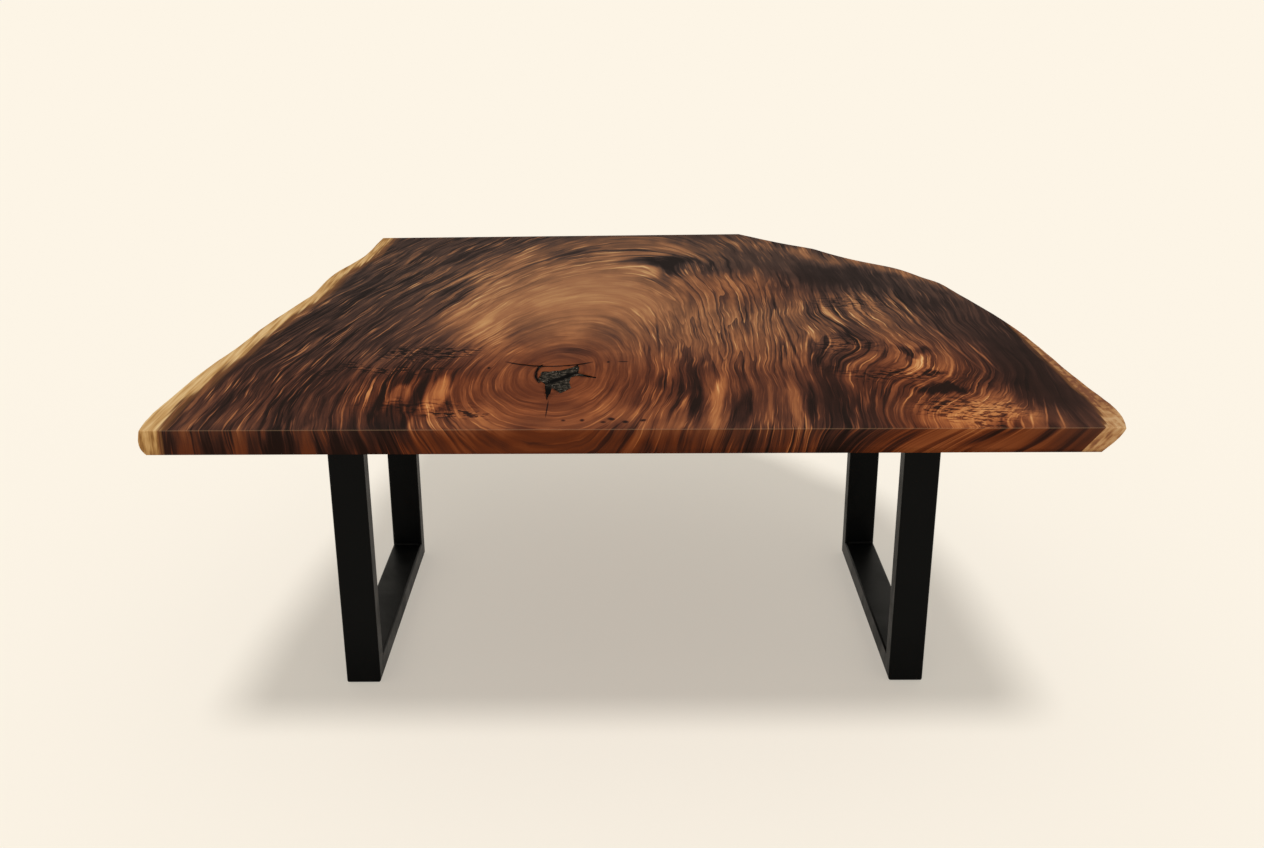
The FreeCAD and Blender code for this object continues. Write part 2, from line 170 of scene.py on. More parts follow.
def fill(node: Node, *values: object) -> Node:
    """Connects a node's inputs in their order.

    Args:
        node: the node.
        values: what goes into its first inputs.

    Returns:
        The same node.
    """
    for entry, value in zip(node.inputs, values):
        connect(entry, value)
    return node


def feed(node: Node, **values: object) -> Node:
    """Connects a node's inputs by name.

    Args:
        node: the node.
        values: what goes into each input, named with _ for the spaces.

    Returns:
        The same node.
    """
    for name, value in values.items():
        connect(node.inputs[name.replace("_", " ")], value)
    return node


class Slope(NamedTuple):
    """A range of readings, what its two ends turn into, and whether the turn is gentle at both."""

    low: float
    high: float
    to_low: float = 0.0
    to_high: float = 1.0
    eased: bool = False


# Where a Mix node has its factor, its two colours and the colour that it puts out
MIX_INPUTS = (0, 6, 7)
MIX_OUTPUT = 2


@dataclass
class Bench:
    """A node tree to work in, with short names for the nodes that the finishes use."""

    tree: NodeTree

    def node(self, kind: str, **inputs: object) -> Node:
        """Adds a node of a type, named without the words ShaderNode, and feeds it."""
        return feed(self.tree.nodes.new(f"ShaderNode{kind}"), **inputs)

    def group(self, tree: NodeTree, **inputs: object) -> Node:
        """Places a node group.

        Args:
            tree: the group.
            inputs: its values in this place.

        Returns:
            The node that holds it.
        """
        made = self.node("Group")
        made.node_tree = tree
        return feed(made, **inputs)

    def place(self) -> NodeSocket:
        """The point on the object."""
        return self.node("TexCoord").outputs["Object"]

    def split(self, vector: NodeSocket) -> tuple[Reading, ...]:
        """The three parts of a vector."""
        return tuple(Reading(part) for part in self.node("SeparateXYZ", Vector=vector).outputs)

    def join(self, x: Level, y: Level, z: Level = 0.0) -> NodeSocket:
        """A vector of three parts."""
        return self.node("CombineXYZ", X=x, Y=y, Z=z).outputs[0]

    def cloud(self, vector: NodeSocket, scale: float = 1.0, detail: float = 2.0,
              roughness: float = 0.5) -> Reading:
        """Cloudy noise, from nought to one and mostly near a half."""
        made = self.node("TexNoise", Vector=vector, Scale=scale, Detail=detail, Roughness=roughness)
        return Reading(made.outputs[0])

    def wander(self, vector: NodeSocket, source: NodeSocket, reach: Sequence[float], scale: float,
               detail: float = 2.0) -> NodeSocket:
        """Moves a point about by noise.

        Args:
            vector: the point.
            source: where the noise is read.
            reach: the most that each part of the point moves, both ways together.
            scale: patches to a unit of the source.
            detail: finer layers of the noise.

        Returns:
            The moved point.
        """
        drift = self.node("TexNoise", Vector=source, Scale=scale, Detail=detail).outputs[1]
        moved = self.vector_math("MULTIPLY_ADD", drift, reach, vector).outputs["Vector"]
        half = [share / 2 for share in reach]
        return self.vector_math("SUBTRACT", moved, half).outputs["Vector"]

    def vector_math(self, operation: str, *values: "NodeSocket | Sequence[float]") -> Node:
        """Adds a Vector Math node.

        Args:
            operation: the node's operation.
            values: its inputs in their order.

        Returns:
            The node.
        """
        made = self.node("VectorMath")
        made.operation = operation
        return fill(made, *values)

    def span(self, value: Reading, slope: Slope) -> Reading:
        """Takes a reading along a slope.

        Args:
            value: the reading.
            slope: what it turns into.

        Returns:
            The result, which stays level beyond the slope's ends.
        """
        made = self.node("MapRange")
        made.interpolation_type = "SMOOTHSTEP" if slope.eased else "LINEAR"
        return Reading(fill(made, value, slope.low, slope.high, slope.to_low, slope.to_high).outputs[0])

    def ramp(self, value: Reading, stops: Sequence[tuple[float, str]]) -> NodeSocket:
        """Turns a number into a colour.

        Args:
            value: the number.
            stops: where along the ramp each colour stands.

        Returns:
            The colour.
        """
        node = self.node("ValToRGB", Fac=value)
        steps = node.color_ramp.elements
        while len(steps) < len(stops):
            steps.new(1.0)
        for step, (position, code) in zip(steps, stops):
            step.position = position
            step.color = tint(code)
        return node.outputs["Color"]

    def mix(self, amount: Level, under: object, over: object) -> NodeSocket:
        """Lays one colour over another.

        Args:
            amount: how much of the upper colour shows.
            under: the lower colour.
            over: the upper colour.

        Returns:
            The colour.
        """
        node = self.node("Mix")
        node.data_type = "RGBA"
        for index, value in zip(MIX_INPUTS, (amount, under, over)):
            connect(node.inputs[index], value)
        return node.outputs[MIX_OUTPUT]

    def bump(self, height: Reading, strength: float, distance: float) -> NodeSocket:
        """A normal that follows a height."""
        return self.node("Bump", Height=height, Strength=strength, Distance=distance).outputs["Normal"]


def principled(name: str) -> tuple[Material, Bench, Node]:
    """Starts a material.

    Args:
        name: the material's name.

    Returns:
        The material, a bench for its nodes and its main shader.
    """
    material = bpy.data.materials.new(name)
    material.use_nodes = True
    return material, Bench(material.node_tree), material.node_tree.nodes["Principled BSDF"]


SMUDGES = Slope(0.38, 0.66, eased=True)
SPECKS = Slope(0.6, 0.74, eased=True)


def handling_group() -> NodeTree:
    """Makes the shared group for smudges and fine specks on a handled surface.

    Returns:
        The group, with a smudge mask, a speck mask and a fine height.
    """
    tree = bpy.data.node_groups.new("handling", "ShaderNodeTree")
    for name in ("Smudge Scale", "Grain Scale"):
        tree.interface.new_socket(name, in_out="INPUT", socket_type="NodeSocketFloat")
    for name in ("Smudge", "Speck", "Height"):
        tree.interface.new_socket(name, in_out="OUTPUT", socket_type="NodeSocketFloat")
    scales = tree.nodes.new("NodeGroupInput").outputs
    bench = Bench(tree)
    place = bench.place()
    smudge = bench.node("TexNoise", Vector=place, Scale=scales["Smudge Scale"], Detail=4.0, Roughness=0.62,
                        Distortion=0.6)
    grain = bench.node("TexNoise", Vector=place, Scale=scales["Grain Scale"], Detail=2.0, Roughness=0.6)
    height = Reading(grain.outputs[0])
    feed(tree.nodes.new("NodeGroupOutput"), Smudge=bench.span(Reading(smudge.outputs[0]), SMUDGES),
         Speck=bench.span(height, SPECKS), Height=height)
    return tree


# Wood

# Where the middle of a patch's border lies, on the way from its centre to its outline
PATCH_BORDER = 0.8


@dataclass(frozen=True)
class Patch:
    """An oval of the slab's face where something about the wood changes, with a soft or crisp border."""

    x: float
    y: float
    half_width: float
    half_length: float
    lift: float
    lean: float = 0.0
    edge: float = 0.65

    def distance(self, bench: Bench, point: NodeSocket) -> Reading:
        """Builds the distance from the oval's centre.

        Args:
            bench: where the nodes go.
            point: a point of the face.

        Returns:
            The distance, one on the oval's outline.
        """
        turn = math.radians(self.lean)
        across = Vector((math.cos(turn), math.sin(turn), 0.0)) / self.half_width
        along = Vector((-math.sin(turn), math.cos(turn), 0.0)) / self.half_length
        parts = [Reading(bench.vector_math("DOT_PRODUCT", point, axis).outputs["Value"])
                 for axis in (across, along)]
        middle = Vector((self.x, self.y, 0.0))
        centre = (middle.dot(across), middle.dot(along), 0.0)
        return Reading(bench.vector_math("DISTANCE", bench.join(*parts), centre).outputs["Value"])

    def reading(self, bench: Bench, point: NodeSocket, eased: bool = True) -> Reading:
        """Builds what the patch gives a point: its lift inside, and nought beyond its border."""
        border = Slope(PATCH_BORDER - self.edge, PATCH_BORDER + self.edge, self.lift, 0.0, eased)
        return bench.span(self.distance(bench, point), border)


def patchwork(bench: Bench, point: NodeSocket, patches: Sequence[Patch], ground: float = 0.0) -> Reading:
    """Adds up patches.

    Args:
        bench: where the nodes go.
        point: a point of the face.
        patches: the patches.
        ground: the value away from all of them.

    Returns:
        The sum.
    """
    total = ground
    for patch in patches:
        total = patch.reading(bench, point) + total
    return total


@dataclass(frozen=True)
class Swelling:
    """A place where the rings bulge round a knot or burl."""

    x: float
    y: float
    half_width: float
    back_length: float
    front_length: float
    push: float


CRACK_SIDES = Slope(0.0014, 0.0048, 1.0, 0.0)


@dataclass(frozen=True)
class Crack:
    """A drying crack along an arc of the face, painted as a dark line inside an oval: partly the crack's
    hairline beyond the resin, partly painted shade beside the crack.
    """

    x: float
    y: float
    radius: float
    reach: Patch

    def reading(self, bench: Bench, point: NodeSocket) -> Reading:
        """Builds how much the crack darkens a point of the face."""
        gap = Patch(self.x, self.y, 1.0, 1.0, 0.0).distance(bench, point) - self.radius
        return self.reach.reading(bench, point) * bench.span(gap.apply("ABSOLUTE"), CRACK_SIDES)


@dataclass(frozen=True)
class Streaks:
    """Noise with its own scale along each of two or three readings."""

    scales: tuple[float, ...]
    detail: float
    slope: Slope
    roughness: float = 0.5

    def reading(self, bench: Bench, *readings: Reading) -> Reading:
        """Builds the streaks from as many readings as there are scales."""
        source = bench.join(*(part * scale for part, scale in zip(readings, self.scales)))
        return bench.span(bench.cloud(source, 1.0, self.detail, self.roughness), self.slope)


@dataclass(frozen=True)
class Drift:
    """A wavering of the figure, which is stretched along the table and read in a layer of its own."""

    stretch: float
    layer: float
    reach: tuple[float, float, float]
    scale: float
    detail: float = 2.0


@dataclass(frozen=True)
class Rings:
    """The rings round the knot, as one number that is the same all along a line of grain."""

    heart_x: float = -0.157
    heart_y: float = -0.50
    axis_lean: float = 0.13
    climb: float = 0.125
    climb_run: float = 0.28
    climb_power: float = 0.72
    fall: float = 0.15
    fall_run: float = 0.337
    fall_power: float = 0.9
    roundness: float = 2.2
    left_stretch: float = 1.08
    heart_ease: float = 0.16
    swellings: tuple[Swelling, ...] = (
        Swelling(0.46, -0.33, 0.07, 0.16, 0.10, 0.035),
        Swelling(0.60, -0.44, 0.12, 0.34, 0.15, 0.10),
        Swelling(0.58, -0.80, 0.13, 0.13, 0.22, -0.09),
        Swelling(0.09, 0.47, 0.10, 0.10, 0.10, 0.02),
    )

    def reading(self, bench: Bench, point: NodeSocket) -> Reading:
        """Builds the number.

        Args:
            bench: where its nodes go.
            point: a point of the figure.

        Returns:
            The ring number, small at the knot.
        """
        x, y, _ = bench.split(point)
        along = y - self.heart_y
        behind = along.eased_larger(0.0, self.heart_ease)
        before = (along * -1.0).eased_larger(0.0, self.heart_ease)
        across = x - (behind * self.axis_lean + self.heart_x)
        across = across.larger(across * (-1.0 / self.left_stretch))
        climb = (behind / self.climb_run) ** self.climb_power * self.climb
        fall = (before / self.fall_run) ** self.fall_power * self.fall
        ring = (across ** self.roundness + (climb + fall) ** self.roundness) ** (1 / self.roundness)
        for swelling in self.swellings:
            aside = (x - swelling.x) / swelling.half_width
            back = (y - swelling.y) / swelling.back_length
            back = back.larger((y - swelling.y) / -swelling.front_length)
            bell = ((aside * aside + back * back) * -1.0).apply("EXPONENT")
            ring = ring - bell * swelling.push
        return ring


TONE_PATCHES = (
    # The golden heart above the knot and the arches behind it
    Patch(-0.13, 0.06, 0.25, 0.29, 0.42),
    Patch(-0.355, -0.06, 0.075, 0.3, 0.24, -3.0),
    Patch(-0.14, 0.2, 0.1, 0.14, -0.07),
    Patch(-0.18, 0.57, 0.06, 0.08, -0.18),
    Patch(-0.38, 0.26, 0.05, 0.1, 0.1),
    Patch(-0.36, 0.4, 0.09, 0.22, 0.18, -12.0),
    Patch(-0.1, 0.52, 0.27, 0.34, 0.24, -6.0),
    Patch(-0.24, 0.5, 0.11, 0.2, 0.12, -14.0),
    Patch(-0.15, -0.46, 0.21, 0.34, 0.2),
    Patch(-0.12, -0.64, 0.12, 0.08, -0.05),
    Patch(-0.125, -0.742, 0.08, 0.06, -0.06),
    Patch(-0.285, -0.5, 0.05, 0.28, 0.1),
    Patch(-0.32, -0.62, 0.05, 0.12, 0.08),
    Patch(-0.28, -0.77, 0.07, 0.09, 0.18),
    Patch(-0.26, -0.9, 0.12, 0.05, 0.12),
    Patch(-0.33, -0.18, 0.09, 0.12, 0.12),
    Patch(0.02, 0.35, 0.06, 0.08, 0.14),
    # Left of the heart
    Patch(-0.45, 0.05, 0.07, 0.4, 0.08),
    Patch(-0.4, -0.66, 0.08, 0.15, 0.08),
    Patch(-0.47, -0.43, 0.13, 0.07, 0.07),
    Patch(-0.47, -0.82, 0.05, 0.1, -0.1),
    # Right of the heart
    Patch(0.22, -0.15, 0.21, 0.55, 0.24),
    Patch(0.05, -0.28, 0.07, 0.24, 0.14),
    Patch(0.2, 0.26, 0.11, 0.11, 0.18),
    Patch(0.0, -0.76, 0.28, 0.18, 0.14),
    Patch(0.26, 0.04, 0.05, 0.09, -0.1),
    Patch(0.37, -0.32, 0.05, 0.1, -0.04),
    Patch(-0.02, -0.755, 0.06, 0.05, 0.12),
    Patch(0.06, -0.62, 0.04, 0.09, -0.1),
    Patch(0.375, -0.74, 0.05, 0.15, -0.18),
    Patch(0.37, -0.89, 0.05, 0.06, -0.24),
    Patch(0.03, -0.81, 0.05, 0.04, 0.07),
    Patch(0.59, -0.81, 0.06, 0.05, -0.08),
    Patch(0.08, -0.88, 0.05, 0.04, -0.16),
    Patch(0.12, -0.44, 0.04, 0.1, -0.12),
    Patch(0.43, -0.12, 0.07, 0.22, 0.1),
    # The burl and the orange corner in front of it
    Patch(0.54, -0.05, 0.11, 0.13, 0.19),
    Patch(0.56, -0.4, 0.12, 0.22, 0.26),
    Patch(0.6, -0.74, 0.11, 0.1, 0.34, 20.0),
    Patch(0.67, -0.72, 0.06, 0.14, 0.14),
    Patch(0.572, -0.617, 0.054, 0.036, -0.44, 0.0, 0.5),
    Patch(0.578, -0.513, 0.03, 0.024, -0.34, 0.0, 0.4),
    Patch(0.5, -0.64, 0.06, 0.06, -0.05),
    Patch(0.575, -0.36, 0.04, 0.03, -0.28, 0.0, 0.45),
    Patch(0.45, -0.24, 0.04, 0.09, -0.1),
    Patch(0.43, -0.34, 0.05, 0.07, 0.1),
    Patch(0.41, -0.27, 0.05, 0.08, 0.08),
    Patch(0.5, -0.45, 0.05, 0.08, 0.1),
    Patch(0.47, -0.62, 0.06, 0.12, 0.06),
    Patch(0.52, -0.19, 0.06, 0.12, 0.12),
    Patch(0.55, -0.81, 0.06, 0.06, 0.18),
    Patch(0.65, -0.81, 0.04, 0.05, -0.12),
    Patch(0.71, -0.8, 0.06, 0.08, 0.16),
    Patch(0.58, -0.9, 0.15, 0.05, 0.18),
    Patch(0.66, -0.9, 0.12, 0.06, 0.16),
    Patch(-0.6, -0.9, 0.26, 0.05, -0.06),
    # The dark back corner and the brown along its edge
    Patch(0.52, 0.26, 0.15, 0.17, -0.16),
    Patch(0.78, -0.45, 0.07, 0.5, -0.1),
    Patch(0.2, 0.66, 0.15, 0.16, 0.14),
    Patch(0.12, 0.78, 0.1, 0.08, -0.06),
    Patch(0.47, 0.56, 0.06, 0.15, 0.26, 30.0),
    Patch(0.67, 0.36, 0.045, 0.26, 0.28, 30.0),
    Patch(0.52, 0.44, 0.05, 0.06, 0.12),
    Patch(0.7, 0.06, 0.07, 0.14, -0.1),
    # The dark smudge behind the heart
    Patch(0.095, 0.475, 0.08, 0.06, -0.3, 0.0, 0.6),
    Patch(0.14, 0.46, 0.05, 0.05, -0.12),
    Patch(0.09, 0.33, 0.03, 0.11, -0.2),
)

LINE_PATCHES = (
    # Flat orange blocks with dark bars between them, left of the knot
    Patch(-0.437, -0.64, 0.023, 0.075, 0.29, 0.0, 0.25),
    Patch(-0.366, -0.64, 0.025, 0.125, 0.29, 0.0, 0.25),
    Patch(-0.402, -0.68, 0.013, 0.17, -0.26, 0.0, 0.3),
    Patch(-0.468, -0.69, 0.01, 0.12, -0.18, 0.0, 0.3),
    # Bars right of the knot
    Patch(0.152, -0.68, 0.015, 0.19, 0.3, -7.0, 0.35),
    Patch(0.292, -0.7, 0.015, 0.165, 0.26, -2.5, 0.35),
    Patch(0.249, -0.675, 0.006, 0.13, 0.14, -5.0, 0.35),
    Patch(0.112, -0.64, 0.017, 0.23, -0.26, -1.5, 0.35),
    Patch(0.195, -0.725, 0.015, 0.13, -0.26, -10.0, 0.35),
    Patch(0.322, -0.69, 0.01, 0.13, -0.2, -7.0, 0.35),
    # Long thin lines
    Patch(0.33, -0.28, 0.0035, 0.3, -0.3),
    Patch(0.052, -0.24, 0.004, 0.16, -0.22),
    Patch(0.255, -0.1, 0.007, 0.14, -0.22),
    Patch(0.212, -0.25, 0.005, 0.09, 0.16),
    Patch(0.17, -0.44, 0.006, 0.1, 0.12),
    Patch(0.135, 0.02, 0.01, 0.12, -0.18),
    Patch(0.66, -0.3, 0.003, 0.22, 0.22, 6.0),
    Patch(0.705, -0.4, 0.003, 0.1, 0.3, 4.0),
    Patch(0.728, -0.75, 0.0022, 0.08, 0.3, -14.0),
    Patch(0.75, -0.77, 0.0022, 0.07, 0.3, -10.0),
    Patch(0.693, -0.79, 0.0022, 0.06, 0.24, -11.0),
    # Slanting strokes down the right of the front cut
    Patch(0.5, -0.88, 0.014, 0.06, -0.18, 0.0, 0.3),
    Patch(0.57, -0.88, 0.01, 0.06, -0.14, 0.0, 0.3),
    Patch(0.655, -0.88, 0.012, 0.06, -0.14, 0.0, 0.3),
    Patch(0.725, -0.88, 0.006, 0.06, -0.1, 0.0, 0.3),
    # Wide bars down the left of the front cut
    Patch(-0.773, -0.88, 0.017, 0.08, 0.1, 0.0, 0.3),
    Patch(-0.724, -0.88, 0.024, 0.08, -0.12, 0.0, 0.3),
    Patch(-0.68, -0.88, 0.014, 0.1, 0.2, 0.0, 0.3),
    Patch(-0.622, -0.88, 0.022, 0.08, -0.14, 0.0, 0.3),
    Patch(-0.562, -0.88, 0.016, 0.1, 0.18, 0.0, 0.3),
    Patch(-0.517, -0.88, 0.026, 0.08, -0.1, 0.0, 0.3),
)

CALM_PATCHES = (
    Patch(-0.13, 0.06, 0.25, 0.36, -0.55),
    Patch(-0.16, -0.5, 0.13, 0.26, -0.45),
    Patch(0.5, 0.34, 0.24, 0.28, -0.7),
    Patch(0.78, -0.35, 0.08, 0.62, -0.5),
    Patch(0.6, -0.89, 0.26, 0.06, -0.7),
    Patch(0.36, -0.7, 0.05, 0.16, -0.4),
    Patch(0.19, -0.69, 0.17, 0.17, -0.45),
    Patch(0.8, -0.62, 0.07, 0.3, -0.5),
    Patch(0.53, -0.79, 0.15, 0.07, -0.6),
    Patch(0.69, -0.28, 0.07, 0.38, -0.45),
    Patch(0.43, -0.7, 0.09, 0.14, -0.2),
    Patch(0.76, -0.78, 0.08, 0.08, -0.4),
    Patch(0.05, 0.8, 0.6, 0.22, -0.35),
    Patch(0.22, -0.12, 0.18, 0.5, -0.4),
    Patch(-0.4, -0.64, 0.08, 0.12, -0.45),
    Patch(-0.4, -0.9, 0.6, 0.06, -0.4, 0.0, 0.4),
)

WARM_PATCHES = (
    Patch(-0.16, -0.6, 0.3, 0.34, 0.6),
    Patch(-0.42, -0.64, 0.12, 0.2, 0.4),
    Patch(0.57, -0.6, 0.18, 0.34, 0.5),
    Patch(0.26, -0.6, 0.25, 0.3, 0.3),
    Patch(-0.62, -0.66, 0.2, 0.24, 0.2),
    Patch(0.58, -0.86, 0.16, 0.12, 0.5),
    Patch(-0.16, -0.9, 0.28, 0.07, 0.5),
    Patch(0.28, 0.18, 0.22, 0.2, 0.35),
)

FINE_PATCHES = (
    # Where the streaks are thin and few
    Patch(-0.66, -0.3, 0.24, 0.7, 0.85),
    Patch(-0.4, 0.72, 0.4, 0.2, 0.6),
    Patch(0.22, -0.26, 0.2, 0.7, 0.75),
)

PLEAT_PATCHES = (
    Patch(0.22, 0.1, 0.18, 0.28, 1.0),
    Patch(0.24, -0.3, 0.18, 0.32, 0.9),
)

RING_PATCHES = (
    Patch(-0.16, -0.5, 0.21, 0.35, 1.0),
    Patch(-0.13, 0.05, 0.24, 0.34, 0.9),
)

CRACKS = (
    Crack(-0.168, -0.326, 0.142, Patch(-0.17, -0.45, 0.105, 0.06, 0.34, 0.0, 0.12)),
    Crack(-0.022, -0.512, 0.17, Patch(-0.19, -0.52, 0.022, 0.075, 0.3, 0.0, 0.12)),
)

SEAM_PATCHES = (
    # The hairline below the void, and a short dash beside the crack over it
    Patch(-0.158, -0.725, 0.0016, 0.05, -0.3, 0.0, 0.3),
    Patch(-0.022, -0.438, 0.012, 0.004, -0.25, 0.0, 0.3),
    # Pinholes along the front
    Patch(-0.126, -0.787, 0.004, 0.005, -0.35),
    Patch(-0.093, -0.786, 0.004, 0.007, -0.4),
    Patch(-0.056, -0.796, 0.005, 0.005, -0.35),
    Patch(-0.042, -0.78, 0.006, 0.008, -0.45, 20.0),
    Patch(-0.017, -0.795, 0.005, 0.007, -0.45),
    Patch(0.014, -0.787, 0.005, 0.007, -0.45, -20.0),
    Patch(-0.287, -0.478, 0.003, 0.007, -0.4),
    Patch(-0.052, -0.44, 0.003, 0.006, -0.35),
)

BURL_PATCHES = (
    Patch(0.55, -0.2, 0.1, 0.28, 0.6),
    Patch(0.6, -0.62, 0.12, 0.2, 0.7),
)

CROSS_PATCHES = (
    Patch(-0.415, -0.365, 0.11, 0.055, 1.0, 0.0, 0.35),
    Patch(-0.49, -0.48, 0.14, 0.028, 0.9, 0.0, 0.35),
    Patch(-0.32, -0.755, 0.07, 0.03, 0.9, 0.0, 0.35),
    Patch(-0.4, -0.7, 0.1, 0.03, 0.5),
    Patch(0.5, 0.02, 0.08, 0.07, 0.55),
    Patch(0.44, -0.33, 0.07, 0.05, 0.6),
    Patch(0.5, -0.53, 0.12, 0.04, 0.6),
    Patch(0.6, -0.735, 0.11, 0.075, 0.85, 0.0, 0.4),
)

HOLLOW_SHADE_STROKES = (
    # Black strokes of painted shade where the void is hollow: across the resin, its spike and the cracks
    # round it
    Patch(-0.138, -0.54, 0.011, 0.075, 1.0, -38.0, 0.3),
    Patch(-0.162, -0.64, 0.02, 0.06, 1.0, 0.0, 0.3),
    Patch(-0.085, -0.54, 0.03, 0.025, 1.0, 0.0, 0.3),
    Patch(-0.17, -0.455, 0.12, 0.022, 1.0, 0.0, 0.2),
    Patch(-0.192, -0.52, 0.012, 0.08, 1.0, 0.0, 0.2),
)

HEARTWOOD = (
    (0.0, "1f1816"),
    (0.16, "2f2522"),
    (0.32, "4b3931"),
    (0.48, "73503a"),
    (0.62, "976848"),
    (0.78, "b5885c"),
    (1.0, "d6b07f"),
)

WARM_HEARTWOOD = (
    (0.0, "20120d"),
    (0.16, "391d14"),
    (0.32, "5e2f1c"),
    (0.48, "874a2b"),
    (0.62, "a96539"),
    (0.78, "c8864f"),
    (1.0, "e1b076"),
)

SAPWOOD = (
    (0.0, "5f3d22"),
    (0.3, "9a7040"),
    (0.6, "bf9660"),
    (1.0, "dab985"),
)

RESIN = (
    (0.36, "0b0908"),
    (0.52, "2a2620"),
    (0.68, "5c5348"),
)

# Streaks across the rings, with the lesser scales across the table and along it
BROAD = Streaks((13.0, 1.8, 1.4), 2.0, Slope(0.25, 0.75, -1.0, 1.0))
FLAME = Streaks((40.0, 3.2, 2.4), 2.0, Slope(0.40, 0.62, -1.0, 1.0, True))
FINE = Streaks((150.0, 7.0, 5.0), 3.0, Slope(0.34, 0.66, -1.0, 1.0), 0.72)
BRUSH = Streaks((82.0, 4.5, 4.6), 1.0, Slope(0.50, 0.66, -0.3, 1.0, True))
PALE_THREADS = Streaks((260.0, 9.0, 7.0), 1.0, Slope(0.60, 0.71, 0.0, 0.31))
DARK_THREADS = Streaks((120.0, 4.0, 3.0), 2.0, Slope(0.57, 0.63, 0.0, 0.20))
GROWTH = Streaks((46.0, 2.4, 2.2), 4.0, Slope(0.38, 0.62, -1.0, 1.0, True), 0.65)
PLEATS = Streaks((20.0, 0.8, 0.7), 1.0, Slope(0.0, 1.0, 0.0, 9.0))

# Streaks and clouds by the place on the slab alone
MOTTLE = Streaks((9.0, 9.0), 3.0, Slope(0.25, 0.75, -1.0, 1.0))
CONTRAST = Streaks((3.0, 3.0), 1.0, Slope(0.36, 0.62, 0.6, 1.25))
FLECKS = Streaks((46.0, 86.0), 2.0, Slope(0.50, 0.54, -0.08, 0.38), 0.6)
SAP_STREAKS = Streaks((150.0, 7.0, 22.0), 2.0, Slope(0.28, 0.68, 0.36, 1.05))
SAP_FLECKS = Streaks((80.0, 50.0, 60.0), 3.0, Slope(0.44, 0.58, -0.04, 0.32))
SAP_WAVER = Streaks((7.0, 3.0), 2.0, Slope(0.25, 0.75, -0.005, 0.005))
SAP_FIBRES = Streaks((150.0, 3.0), 3.0, Slope(0.25, 0.75, -0.008, 0.008))
PORES = Streaks((900.0, 45.0, 900.0), 2.0, Slope(0.0, 1.0))

# How far the rings and the borders of the patches waver
SLOW_DRIFT = Drift(1.6, 0.0, (0.05, 0.05, 0.0), 2.6)
LOOSE_DRIFT = Drift(3.0, 7.0, (0.010, 0.018, 0.0), 9.0)
BURL_DRIFT = Drift(1.0, 3.0, (0.045, 0.04, 0.0), 11.0, 3.0)
PATCH_STRAY = Drift(4.4, 0.0, (0.05, 0.16, 0.0), 5.0, 3.0)
LINE_STRAY = Drift(4.4, 0.0, (0.012, 0.06, 0.0), 5.0, 3.0)

# Changes of the tone and the warmth from the front to the back
BACK_LIFT = Slope(-0.45, 0.10, 0.015, 0.075)
# Painted light: the wood is lighter near the front edge and on the front cut
FRONT_PAINTED_LIGHT = Slope(-0.80, -0.70, 0.075, 0.0)
# Painted shade lower down the front cut, partly for its end grain
CUT_SHADE = Slope(-0.86, -0.835, 0.05, 0.0)
FRONT_WARMTH = Slope(-0.5, 0.2, 0.4, 0.05)
CUT_WARMTH = Slope(-0.88, -0.835, 0.4, 0.0)
RING_FADE = Slope(-0.30, -0.05, 1.0, 0.4)

# Where the rings break off, and how faint they are in the knot's core
RING_BREAKS = Slope(-0.45, 0.45, 0.15, 1.4)
KNOT_CORE = Patch(-0.155, -0.55, 0.085, 0.15, 1.0)
CORE_FADE = Slope(0.5, 1.3, 0.3, 1.0)

# Where across the table the grain starts to slant in the burl, and where the slant eases off
BURL_START = (0.25, 0.50)
BURL_END = (0.56, 0.78)

# The sapwood: widths and ageing from the front to the back, its border and its shade below the face
LEFT_SAP = Slope(-0.83, 0.62, 0.032, 0.027)
RIGHT_SAP = Slope(-0.83, -0.15, 0.038, 0.006)
RIGHT_SAP_END = Slope(-0.30, 0.0, 0.0, 0.024, True)
LEFT_AGEING = Slope(-0.5, 0.6, 0.0, 0.22)
RIGHT_AGEING = Slope(-0.79, -0.70, -0.10, 0.48)
SAP_STAIN = Slope(-0.030, -0.003, 0.0, 0.75, True)
SAP_BORDER = Slope(-0.007, 0.004, eased=True)
SAP_UNDERCUT = Slope(0.002, 0.014, 0.0, 0.22)
RIGHT_HALF = Slope(-0.1, 0.1)

# The front cut: darker and warmer where the wood is light, partly its end grain and partly painted shade;
# and a painted highlight along its upper edge
CUT_END_GRAIN_AND_SHADE = Slope(0.14, 0.34, 0.0, 0.35)
ARRIS_PAINTED_HIGHLIGHT = Slope(0.05, 0.35, 0.0, 0.10)


